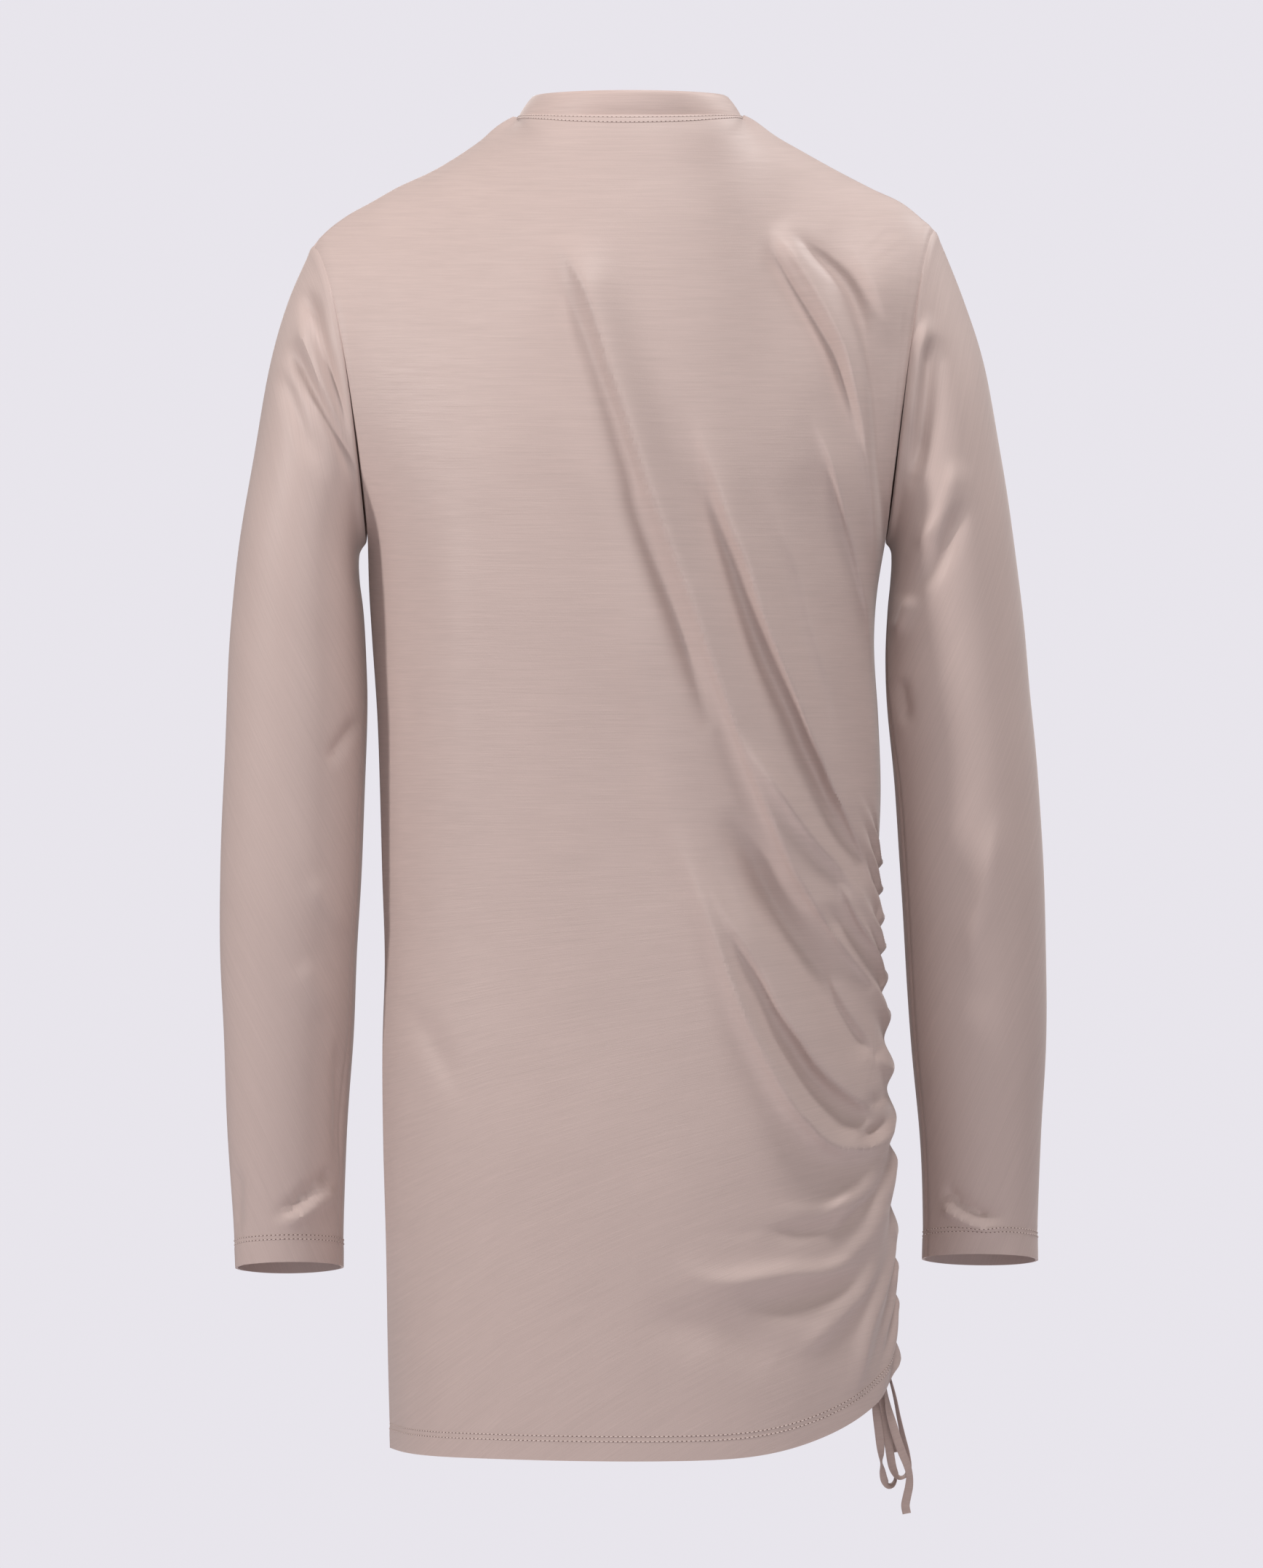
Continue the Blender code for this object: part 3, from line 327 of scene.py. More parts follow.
# Colours
BODY_COLOUR = (0.515, 0.4, 0.368)
BAND_COLOUR = (0.54, 0.415, 0.38)
CASING_COLOUR = (0.44, 0.33, 0.30)
TAPE_COLOUR = (0.43, 0.32, 0.29)
THREAD_COLOUR = (0.62, 0.50, 0.46)
# Painted shadow: the dark colour of the bars between the stitches
STITCH_SHADOW_COLOUR = (0.15, 0.095, 0.08)
FLOOR_COLOUR = (0.80, 0.78, 0.83)
BACKDROP = (0.807, 0.785, 0.838)

# Studio, in metres and watts: the floor's reach, back edge and level, the fill, the lights and their target
FLOOR = (5.0, 2.2, -1.26)
FILL, FILL_STRENGTH = (1.0, 0.95, 0.92), 0.135
WHITE = (1, 1, 1)
LIGHT_TARGET = (0, 0, -0.3)
LIGHTS = (
    ("key", (-2.05, -1.1, 0.55), 0.25, 33, (1.0, 0.985, 0.97)),
    ("top", (0.35, -0.6, 1.7), 0.5, 26, WHITE),
    ("right", (2.3, -1.2, 0.6), 0.7, 5, WHITE),
    ("front_high", (0.5, -3.0, 0.8), 1.2, 11, WHITE),
    ("rim", (1.75, 1.1, 1.6), 0.6, 24, WHITE),
    ("rear", (-0.5, 3.0, 0.8), 1.5, 18, WHITE),
    ("front_low", (0.5, -3.0, 0.4), 1.2, 17, WHITE),
)

# Mesh density, and the angle in degrees from which an edge looks sharp
SHARP_FROM = 55
ARMHOLE_ROWS, TRUNK_ROWS = 110, 260
LEFT_COLUMNS, NECK_COLUMNS, RIGHT_COLUMNS = 38, 70, 92
SLEEVE_RINGS = 170
BAND_STEPS = 10


# Small mathematics

def spline(xs, ys, at):
    """A smooth curve through a short table, read at the given places."""
    xs = np.asarray(xs, float)
    ys = np.asarray(ys, float)
    if xs[0] > xs[-1]:
        xs, ys = xs[::-1], ys[::-1]
    slopes = np.gradient(ys, xs)
    at = np.clip(at, xs[0], xs[-1])
    i = np.clip(np.searchsorted(xs, at) - 1, 0, len(xs) - 2)
    step = xs[i + 1] - xs[i]
    t = (at - xs[i]) / step
    start = ((2 * t - 3) * t * t + 1) * ys[i] + ((t - 2) * t + 1) * t * slopes[i] * step
    end = (3 - 2 * t) * t * t * ys[i + 1] + (t - 1) * t * t * slopes[i + 1] * step
    return start + end


def ease(share):
    share = np.clip(share, 0, 1)
    return share * share * (3 - 2 * share)


def column(table, name):
    return [getattr(row, name) for row in table]


def unit(vectors):
    return vectors / np.maximum(np.linalg.norm(vectors, axis=-1, keepdims=True), 1e-9)


def along(points):
    """Distances along a line of points."""
    steps = np.linalg.norm(np.diff(points, axis=0), axis=-1)
    return np.concatenate([np.zeros((1,) + steps.shape[1:]), np.cumsum(steps, axis=0)])


def smooth_line(points, steps):
    """A route through a table's rows, every column of it smoothed."""
    points = np.asarray(points, float)
    places = np.linspace(0, len(points) - 1, (len(points) - 1) * steps + 1)
    rows = np.arange(len(points))
    return np.stack([spline(rows, points[:, k], places) for k in range(points.shape[1])], axis=-1)


# The plain form, as in the part

def quarter_outline():
    """The trunk's outline from its middle to its side, as even steps along the cloth."""
    angle = np.linspace(0, math.pi / 2, 400)
    across = np.sin(angle) ** (2 / TRUNK_FULLNESS)
    deep = np.cos(angle) ** (2 / TRUNK_FULLNESS)
    steps = np.hypot(np.diff(across * TRUNK_USUAL[0]), np.diff(deep * TRUNK_USUAL[1]))
    run = np.concatenate([[0], np.cumsum(steps)])
    return run / run[-1], across, deep


TURN_SHARE, TURN_ACROSS, TURN_DEEP = quarter_outline()


def top_edge(face, across):
    """The upper edge of a panel: left shoulder seam, neckline, right shoulder seam."""
    share = np.abs(across)
    outward = np.clip((share - NECK_SHARE) / (1 - NECK_SHARE), 0, 1)
    left_x = NECK_HALF + (SHOULDER_LEFT[-1][0] - NECK_HALF) * outward
    right_x = NECK_HALF + (SHOULDER_RIGHT[-1][0] - NECK_HALF) * outward
    left = across < 0
    seam_x = np.where(left, -left_x, right_x)
    seam_z = np.where(left, spline(*zip(*SHOULDER_LEFT), left_x), spline(*zip(*SHOULDER_RIGHT), right_x))
    seam_y = SHOULDER_FORWARD * (1 - outward**2)
    swing = np.clip(across / NECK_SHARE, -1, 1) * math.pi / 2
    neck_x = NECK_HALF * np.sin(swing)
    neck_y = SHOULDER_FORWARD + (face * NECK_DEPTH[face] - SHOULDER_FORWARD) * np.cos(swing)
    neck_z = -NECK_DROP[face] * np.cos(swing) ** NECK_ROUND[face]
    on_neck = share <= NECK_SHARE
    pairs = ((neck_x, seam_x), (neck_y, seam_y), (neck_z, seam_z))
    return np.stack([np.where(on_neck, neck, seam) for neck, seam in pairs], axis=-1)


def hem_height(across):
    lift = np.clip((across - HEM_LIFT_FROM) / (1 - HEM_LIFT_FROM), 0, 1)
    return HEM + HEM_LIFT * lift**HEM_LIFT_POWER - HEM_DROP * ease((-across - 0.35) / 0.65)


def level(face, across, height):
    """A point of the trunk below the armpits."""
    left = across < 0
    heights = column(TRUNK, "height")
    left_half = spline(heights, column(TRUNK, "left"), height)
    half = np.where(left, left_half, spline(heights, column(TRUNK, "right"), height))
    depth = spline(heights, column(TRUNK, "back" if face == BACK else "front"), height)
    x = np.sign(across) * half * np.interp(np.abs(across), TURN_SHARE, TURN_ACROSS)
    y = face * depth * np.interp(np.abs(across), TURN_SHARE, TURN_DEEP)
    return np.stack([x, y, height + 0 * x], axis=-1)


def mixed(share, start, end):
    return np.asarray(start, float) * (1 - share[..., None]) + np.asarray(end, float) * share[..., None]


def trunk(face, across, down):
    """The plain trunk. across is -1 at the left seam and 1 at the gathered right seam; down is 0 along
    shoulders and neck, 1 level with the armpits and 2 along the hem."""
    across, down = np.broadcast_arrays(np.asarray(across, float), np.asarray(down, float))
    fall = np.clip(down - 1, 0, 1)
    below = level(face, across, ARMPIT + (hem_height(across) - ARMPIT) * fall)
    share = np.abs(across)
    side = np.sign(across)[..., None] * np.array([1, 0, 0]) + np.array([0, face, 1])
    low = level(face, across, np.full(across.shape, float(ARMPIT)))
    top = top_edge(face, across)
    up_middle, down_middle, down_corner = HANDLES[face]
    left = (across < 0)[..., None]
    up_edge, down_edge = np.where(left, *SEAM_UP), np.where(left, *SEAM_DOWN)
    edge = (share**4)[..., None]
    up = (np.asarray(up_middle, float) * (1 - edge) + up_edge * edge) * side
    neck = ease(share / NECK_SHARE)
    shoulder = np.clip((share - NECK_SHARE) / (1 - NECK_SHARE), 0, 1)[..., None]
    away = (mixed(neck, down_middle, down_corner) * (1 - shoulder) + down_edge * shoulder) * side
    t = np.clip(1 - down, 0, 1)[..., None]
    s = 1 - t
    above = s**3 * low + 3 * s * s * t * (low + up) + 3 * s * t * t * (top + away) + t**3 * top
    return np.where(down[..., None] < 1, above, below)


def grid_normals(points, face=None, around=False):
    """Unit normals of a grid of points, turned outwards."""
    if around:
        wrapped = np.concatenate([points[:, -1:], points, points[:, :1]], axis=1)
        sideways = (wrapped[:, 2:] - wrapped[:, :-2]) / 2
    else:
        sideways = np.gradient(points, axis=1)
    normal = unit(np.cross(sideways, np.gradient(points, axis=0)))
    if around:
        middle = points.mean(axis=1, keepdims=True)
        turned = np.sum(normal * (points - middle)) < 0
    else:
        turned = np.sum(normal[..., 1]) * face < 0
    return -normal if turned else normal


def armhole(side):
    """The armhole seam as a closed loop from the armpit, up the back and down the front."""
    rows = np.linspace(1, 0, ARMHOLE_ROWS + 1)
    back = trunk(BACK, np.full(rows.shape, float(side)), rows)
    front = trunk(FRONT, np.full(rows.shape, float(side)), rows[::-1])
    return np.concatenate([back[:-1], front[:-1]])


# Folds

def seen(points):
    """Where the camera sees points, as (across, height) on the upright plane through the part's origin."""
    scale = CAMERA_DISTANCE / (CAMERA_DISTANCE + points[..., 1] * MM)
    x = VIEW_MIDDLE[0] / MM + (points[..., 0] - VIEW_MIDDLE[0] / MM) * scale
    z = VIEW_MIDDLE[1] / MM + (points[..., 2] - VIEW_MIDDLE[1] / MM) * scale
    return x, z


def varying(heights, place):
    """A height that changes smoothly along a line, through evenly spaced values."""
    heights = np.atleast_1d(np.asarray(heights, float))
    if len(heights) == 1:
        return heights[0]
    spot = place * (len(heights) - 1)
    before = np.clip(spot.astype(int), 0, len(heights) - 2)
    return heights[before] + (heights[before + 1] - heights[before]) * ease(spot - before)


def raised(folds, x, z):
    """How far the folds of a table lift the cloth at points seen at (x, z)."""
    total = np.zeros(x.shape)
    for fold in folds:
        line = smooth_line(np.reshape(fold.line, (-1, 2)), 4)
        reach = 3.4 * max(fold.upper, fold.lower)
        near = (x > line[:, 0].min() - reach) & (x < line[:, 0].max() + reach)
        near &= (z > line[:, 1].min() - reach) & (z < line[:, 1].max() + reach)
        start, run = line[:-1], np.diff(line, axis=0)
        lengths = np.linalg.norm(run, axis=1)
        so_far = np.concatenate([[0], np.cumsum(lengths)])
        gap_x = x[near][:, None] - start[:, 0]
        gap_z = z[near][:, None] - start[:, 1]
        t = np.clip((gap_x * run[:, 0] + gap_z * run[:, 1]) / lengths**2, 0, 1)
        off_x = gap_x - t * run[:, 0]
        off_z = gap_z - t * run[:, 1]
        apart = np.hypot(off_x, off_z)
        nearest = np.argmin(apart, axis=-1)
        pick = np.arange(len(nearest)), nearest
        place = (so_far[:-1] + t * lengths)[pick] / so_far[-1]
        cross = run[nearest, 0] * off_z[pick] - run[nearest, 1] * off_x[pick]
        upper = ease(0.5 + cross / lengths[nearest] / 6)
        spread = fold.lower + (fold.upper - fold.lower) * upper
        ratio = apart[pick] / spread
        soft = 1.0 / spread
        crest = np.exp(1.25 * (soft - np.sqrt(ratio**2 + soft**2)))
        crisp = fold.crisp * (1 - 0.8 * upper if np.sum(fold.rise) > 0 else 0.3 + 0.7 * upper)
        profile = crisp * crest + (1 - crisp) * np.exp(-(ratio**2))
        fade = ease(place / fold.start) * ease((1 - place) / fold.end * 0.7 + 0.3)
        total[near] += varying(fold.rise, place) * fade * profile
    return total


def gathered(height):
    """The drawstring seam's own waves."""
    knots = sorted(list(HOLLOWS) + list(CRESTS))
    waves = [GATHER_RISE if z in CRESTS else -GATHER_RISE * 0.75 for z in knots]
    place = np.clip(np.searchsorted(knots, height) - 1, 0, len(knots) - 2)
    knots, waves = np.asarray(knots), np.asarray(waves)
    t = ease((height - knots[place]) / (knots[place + 1] - knots[place]))
    wave = waves[place] * (1 - t) + waves[place + 1] * t
    return wave * ease((HOLLOWS[0] + 8 - height) / 14)


def uneven(x, z, phase):
    """The slight unevenness of hanging jersey."""
    broad = np.sin(x / 31 + z / 74 + phase) * np.sin(z / 47 - x / 90 + 2 * phase)
    fine = np.sin(x / 13 - z / 39 + 3 * phase) * np.sin(z / 21 + x / 35 + phase)
    return 0.55 * broad + 0.16 * fine


def seam_roll(distance):
    """Cloth sinks into a seam and swells a little beside it."""
    return 0.35 * np.exp(-(((distance - 4.2) / 2.6) ** 2)) - 1.0 * np.exp(-((distance / 1.5) ** 2))


def stitched(distance, rows):
    """Cloth pulled in along coverstitch rows, a little thicker on the turned side of them."""
    pulled = sum(np.exp(-(((distance - row) / 0.9) ** 2)) for row in rows)
    return 0.25 * ease((max(rows) + 1 - distance) / 2) - 0.3 * pulled


# Grids of the cloth's outer face

class Cloth:
    """A piece's outer face as a grid of points with normals, cloth coordinates and thickness."""

    def __init__(self, points, normals, cloth_u, cloth_v, thickness, around=False):
        self.points = points
        self.normals = normals
        self.cloth_u = cloth_u
        self.cloth_v = cloth_v
        self.thickness = thickness
        self.around = around

    def line(self, distance, columns=slice(None), from_last=False):
        """The line on the cloth at a distance from its first or last row, with its normals."""
        points, normals = self.points[:, columns], self.normals[:, columns]
        if from_last:
            points, normals = points[::-1], normals[::-1]
        run = along(points)
        row = np.argmax(run > distance, axis=0)
        pick = np.arange(points.shape[1])
        before, after = run[row - 1, pick], run[row, pick]
        t = ((distance - before) / (after - before))[:, None]
        place = points[row - 1, pick] * (1 - t) + points[row, pick] * t
        return place, unit(normals[row - 1, pick] * (1 - t) + normals[row, pick] * t)


def columns_across():
    """Where the panels' columns stand, closer together towards the gathered seam."""
    left = np.linspace(-1, -NECK_SHARE, LEFT_COLUMNS + 1)
    middle = np.linspace(-NECK_SHARE, NECK_SHARE, NECK_COLUMNS + 1)
    right = NECK_SHARE + (1 - NECK_SHARE) * (1 - np.linspace(1, 0, RIGHT_COLUMNS + 1) ** 1.1)
    return np.concatenate([left[:-1], middle[:-1], right])


def rows_down():
    above = np.linspace(0, 1, ARMHOLE_ROWS + 1)
    below = 1 + np.linspace(0, 1, TRUNK_ROWS + 1) ** 0.97
    return np.concatenate([above[:-1], below])


def seam_normals(normals):
    """Turn the normals at the side seams straight out, as on the panel beside them."""
    normals = normals.copy()
    below = slice(ARMHOLE_ROWS + 1, None)
    for c in (0, -1):
        normals[below, c, 1] = 0
    return unit(normals)


def relaxed(points, across, down):
    """Let the corners beside the neckline, and the level of the armpits, settle into one smooth surface."""
    points = points.copy()
    sideways = ease((along(points)[:, 1:-1] - 5) / 50)[..., None] * SETTLE_SHARE
    upright = ease(1 - np.abs(down - 1) / 0.3) * ease((1 - np.abs(across)) / 0.08) * SETTLE_SHARE
    upright = upright[1:-1, :, None]
    for _ in range(SETTLE_STEPS):
        points[:, 1:-1] += sideways * ((points[:, 2:] + points[:, :-2]) / 2 - points[:, 1:-1])
        points[1:-1] += upright * ((points[2:] + points[:-2]) / 2 - points[1:-1])
    return points


def panel_grid(face):
    across, down = np.meshgrid(columns_across(), rows_down())
    plain = relaxed(trunk(face, across, down), across, down)
    normals = seam_normals(grid_normals(plain, face))
    x, z = seen(plain)
    from_left, from_right = (1 + across) * HALF_GIRTH, (1 - across) * HALF_GIRTH
    from_top = along(plain)
    from_hem = from_top[-1] - from_top
    folds = raised(BACK_FOLDS if face == BACK else FRONT_FOLDS, x, z)
    off_seam = ease(from_left / 20) * ease(from_right / 12) * ease(from_top / 30)
    seam_height = ARMPIT + (hem_height(1.0) - ARMPIT) * np.clip(down - 1, 0, 1)
    flow = spline((-756, -690, -630, -560, -448), (0.55, 0.45, 0.05, -0.5, -0.8), seam_height)
    wave_height = seam_height + flow * from_right * ease(from_right / 20)
    waves = gathered(wave_height) * ease((across - GATHERED_FROM) / (1 - GATHERED_FROM))
    calm = ease(from_left / 20) * ease(from_right / 20) * ease(from_top / 20)
    lift = waves + uneven(x, z, 0.4 if face == BACK else 1.9) * calm
    rolled = seam_roll(from_top) + seam_roll(from_left) * (1 - ease((across + 0.5) * 9))
    rolled = rolled + seam_roll(from_right) * ease((across - 0.5) * 9)
    lift = lift + np.maximum(rolled, -1.0) + stitched(from_hem, HEM_ROWS)
    points = plain + normals * lift[..., None] + np.array([0, face, 0]) * (folds * off_seam)[..., None]
    gathers = np.clip((HOLLOWS[0] - z) * GATHER_FULLNESS, 0, None) * ease((across + 1) / 2)
    thickness = CLOTH + TURNED * ease((HEM_ROWS[0] - from_hem) / 1.5)
    normals = np.where((rolled < -0.5)[..., None], normals, grid_normals(points, face))
    return Cloth(points, normals, across * HALF_GIRTH, gathers - z, thickness)


def sleeve_grid(side):
    table = SLEEVES[side]
    places = np.linspace(0, 1, SLEEVE_RINGS + 1) ** 1.08 * (len(table) - 1)
    rows = np.arange(len(table))
    ring = {name: spline(rows, column(table, name), places)[:, None] for name in Ring._fields}
    angle = (np.arange(2 * ARMHOLE_ROWS) / (2 * ARMHOLE_ROWS) * 2 * math.pi)[None, :]
    outer = (1 - np.cos(angle)) / 2
    x = side * (ring["inner_x"] + (ring["outer_x"] - ring["inner_x"]) * outer)
    z = ring["inner_z"] + (ring["outer_z"] - ring["inner_z"]) * outer
    y = ring["forward"] - ring["depth"] * np.sin(angle)
    z = z + np.sin(angle) * 6.5 * ease((places[:, None] - 9) / 4)
    rings = np.stack([x, y, z + 0 * y], axis=-1)
    joined = ease(1 - places / 4)[:, None, None]
    plain = rings + (armhole(side) - rings[0])[None] * joined
    normals = grid_normals(plain, around=True)
    from_top = along(plain)
    from_cuff = from_top[-1] - from_top
    x, z = seen(plain)
    folds = raised(SLEEVE_FOLDS[side], x, z)
    rear = ease(np.sin(angle) * 2.2)
    front = ease(-np.sin(angle) * 2.2) * 0.7
    seam_angle = math.radians(20) * ease(from_top[:, :1] / 180)
    girth = np.linalg.norm(np.diff(plain, axis=1, append=plain[:, :1]), axis=-1).sum(axis=1)[:, None]
    turn = np.abs((angle - seam_angle + math.pi) % (2 * math.pi) - math.pi)
    from_seam = turn / (2 * math.pi) * girth
    lift = folds * (rear + front) * ease(from_top / 18)
    lift = lift + uneven(x, z, 0.9 + side) * ease(from_top / 25)
    lift = lift + seam_roll(from_top) + 0.6 * seam_roll(from_seam) * ease(from_top / 30)
    lift = lift + stitched(from_cuff, CUFF_ROWS)
    points = plain + normals * lift[..., None]
    around = np.concatenate([angle, [[2 * math.pi]]], axis=1) / (2 * math.pi) * 270
    thickness = CLOTH + TURNED * ease((CUFF_ROWS[0] - from_cuff) / 1.5)
    normals = np.where((from_top < 1.5)[..., None], normals, grid_normals(points, around=True))
    down = np.concatenate([from_top, from_top[:, :1]], axis=1)
    return Cloth(points, normals, around + 0 * down, down, thickness, around=True)


def band_grid():
    """The neckband, from the neckline seam up to its folded edge."""
    swing = np.linspace(-1, 1, NECK_COLUMNS + 1) * NECK_SHARE
    lower = np.concatenate([top_edge(BACK, swing)[:-1], top_edge(FRONT, swing[::-1])[:-1]])
    turn = np.linspace(-1, 1, NECK_COLUMNS + 1) * math.pi / 2
    to_side = np.sin(np.concatenate([turn[:-1], turn[::-1][:-1]]))
    face = np.concatenate([np.full(NECK_COLUMNS, BACK), np.full(NECK_COLUMNS, FRONT)])
    middle = np.where(face[:, None] == BACK, BAND_BACK, BAND_FRONT)
    lean = middle + (np.asarray(BAND_SIDE) - middle) * (to_side**2)[:, None]
    inward = -unit(np.stack([lower[:, 0], lower[:, 1] - SHOULDER_FORWARD, 0 * lower[:, 0]], axis=-1))
    full = inward * lean[:, :1] + np.array([0, 0, 1]) * lean[:, 1:]
    outward = unit(np.cross(np.roll(lower, -1, axis=0) - np.roll(lower, 1, axis=0), full))
    if np.sum(outward * -inward) < 0:
        outward = -outward
    rise = np.linspace(-0.07, 1, BAND_STEPS + 1)[:, None, None]
    swell = 0.5 * np.sin(math.pi * rise) - 0.1 * np.exp(-((rise * 10) ** 2)) - 0.7 * ease((rise - 0.9) / 0.1)
    points = lower + full * rise + outward * swell
    run = along(np.concatenate([lower, lower[:1]]))[None, :]
    height = (rise[..., 0] * 14)[:, :1]
    thickness = BAND_CLOTH * (1 - 0.75 * ease((rise[..., 0] - 0.86) / 0.14)) + 0 * points[..., 0]
    normals = grid_normals(points, around=True)
    return Cloth(points, normals, run + 0 * height, height + 0 * run, thickness, around=True)


# Meshes

def mesh_piece(name, vertices, faces, material, uv=None):
    """A smooth mesh object on the part's body, from corners and cloth coordinates in millimetres."""
    mesh = bpy.data.meshes.new(name)
    mesh.from_pydata((np.asarray(vertices) * MM).tolist(), [], [list(face) for face in faces])
    if uv is not None:
        layer = mesh.uv_layers.new(name="cloth")
        layer.data.foreach_set("uv", (np.asarray(uv) * MM).astype(np.float32).ravel())
    mesh.materials.append(material)
    mesh.validate()
    mesh.shade_smooth()
    mesh.set_sharp_from_angle(angle=math.radians(SHARP_FROM))
    piece = bpy.data.objects.new(name, mesh)
    bpy.context.scene.collection.objects.link(piece)
    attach(piece, "root")
    return piece


def grid_faces(rows, columns, wide, around, every, offset):
    """Quads over a grid, using every so many rows and columns, with the places of their corners' charts."""
    last = columns if around else columns - 1
    r, c = np.meshgrid(np.arange(0, rows - 1, every), np.arange(0, last, every), indexing="ij")
    r, c = r.ravel(), c.ravel()
    after = (c + every) % columns if around else c + every
    corners = [(r, c), (r, after), (r + every, after), (r + every, c)]
    quads = np.stack([row * columns + col + offset for row, col in corners], axis=1)
    places = [(r, c), (r, c + every), (r + every, c + every), (r + every, c)]
    charts = np.stack([row * wide + np.minimum(col, wide - 1) for row, col in places], axis=1)
    return quads, charts


def shell(name, cloth, material):
    """The cloth as a closed thin wall with cloth coordinates; its hidden side takes every second point."""
    rows, columns = cloth.points.shape[:2]
    wide = cloth.cloth_u.shape[1]
    inner = cloth.points - cloth.normals * cloth.thickness[..., None]
    count = rows * columns
    vertices = np.concatenate([cloth.points.reshape(-1, 3), inner.reshape(-1, 3)])
    quads, charts = grid_faces(rows, columns, wide, cloth.around, 1, 0)
    sample = quads[len(quads) // 3]
    corner = vertices[sample]
    outward = cloth.normals.reshape(-1, 3)[sample[0]]
    inside_out = np.dot(np.cross(corner[1] - corner[0], corner[3] - corner[0]), outward) < 0
    flip = slice(None, None, -1) if inside_out else slice(None)
    back = slice(None) if inside_out else slice(None, None, -1)
    under, under_charts = grid_faces(rows, columns, wide, cloth.around, 2, count)
    faces = quads[:, flip].tolist() + under[:, back].tolist()
    chart_rows = charts[:, flip].tolist() + under_charts[:, back].tolist()
    last = columns if cloth.around else columns - 1

    def rim(line):
        """Join the outer and the inner face along one edge, two outer steps to each inner one."""
        for i in range(0, len(line) - 1, 2):
            (a, a_chart), (b, b_chart), (c, c_chart) = line[i], line[i + 1], line[i + 2]
            faces.append([c, b, a, a + count, c + count])
            chart_rows.append([c_chart, b_chart, a_chart, a_chart, c_chart])

    def place(r, c):
        return r * columns + c % columns, r * wide + min(c, wide - 1)

    edges = [[place(0, c) for c in range(last + 1)], [place(rows - 1, c) for c in range(last, -1, -1)]]
    if not cloth.around:
        edges.append([place(r, columns - 1) for r in range(rows)])
        edges.append([place(r, 0) for r in range(rows - 1, -1, -1)])
    for edge in edges:
        rim(edge[::-1] if inside_out else edge)
    used = sorted(set(corner for face in faces for corner in face))
    number = {corner: i for i, corner in enumerate(used)}
    faces = [[number[corner] for corner in face] for face in faces]
    flat = np.concatenate([np.asarray(row) for row in chart_rows])
    uv = np.stack([cloth.cloth_u.ravel()[flat], cloth.cloth_v.ravel()[flat]], axis=-1)
    return mesh_piece(name, vertices[used], faces, material, uv)


def tube_faces(rings, sides, first=0):
    """Quads round a tube of rings, then across each of its ends."""
    faces = []
    for i in range(rings - 1):
        a = first + i * sides
        for k in range(sides):
            n = (k + 1) % sides
            faces.append((a + k, a + n, a + sides + n, a + sides + k))
    for base, flip in ((first, True), (first + (rings - 1) * sides, False)):
        for k in range(sides // 2 - 1):
            quad = (base + k, base + k + 1, base + sides - 2 - k, base + sides - 1 - k)
            faces.append(quad[::-1] if flip else quad)
    return faces


def between(run, values, place):
    """A point or a direction read at a distance along its line."""
    return np.array([np.interp(place, run, values[:, k]) for k in range(3)])


def stitches(name, lines, material, closed, length=STITCH, shift=0.5, sunk=THREAD_SUNK):
    """Rows of short bars with tapered ends along lines on the cloth: threads, or the dark bars of painted
    shadow between them.
    """
    vertices, faces = [], []
    for points, normals in lines:
        if closed:
            points = np.concatenate([points, points[:1]])
            normals = np.concatenate([normals, normals[:1]])
        run = along(points)
        count = int(run[-1] // (STITCH + STITCH_GAP))
        step = run[-1] / count
        for middle in (np.arange(count) + shift) * step:
            start, end = (between(run, points, middle + d) for d in (-length / 2, length / 2))
            up = unit(between(run, normals, middle))
            side = unit(np.cross(up, end - start))
            centre = (start + end) / 2 + up * THREAD * sunk
            faces += tube_faces(len(STITCH_RINGS), STITCH_SIDES, len(vertices))
            for place, size in STITCH_RINGS:
                for k in range(STITCH_SIDES):
                    a = 2 * math.pi * k / STITCH_SIDES
                    around = side * math.cos(a) * THREAD / 2 + up * math.sin(a) * THREAD * THREAD_FLAT
                    vertices.append(centre + (end - start) * place + around * size)
    return mesh_piece(name, vertices, faces, material)


def coverstitch(name, lines, thread, stitch_shadow, closed=False):
    """Coverstitch rows with dark bars of painted shadow between their threads."""
    rows = stitches(name + "_stitching", lines, thread, closed)
    shift = 1.0 if closed else 0.0
    # Dark bars of painted shadow between the threads
    stitch_shadows = stitches(name + "_painted_stitch_shadows", lines, stitch_shadow, closed, STITCH_SHADOW_LENGTH, shift, STITCH_SHADOW_SUNK)
    return [rows, stitch_shadows]


def tape_section(sides, width):
    """The turn and the width of each point round a flat tape with rounded edges."""
    turn = np.arange(sides) / sides * 2 * math.pi
    return turn, np.sign(np.cos(turn)) * np.abs(np.cos(turn)) ** TAPE_ROUND * width / 2


def swept(centre, width, thick, flat, deep):
    """A section carried along a line, ring after ring."""
    rings = centre[:, None] + width[:, None] * flat[None, :, None] + thick[:, None] * deep[None, :, None]
    return rings.reshape(-1, 3)


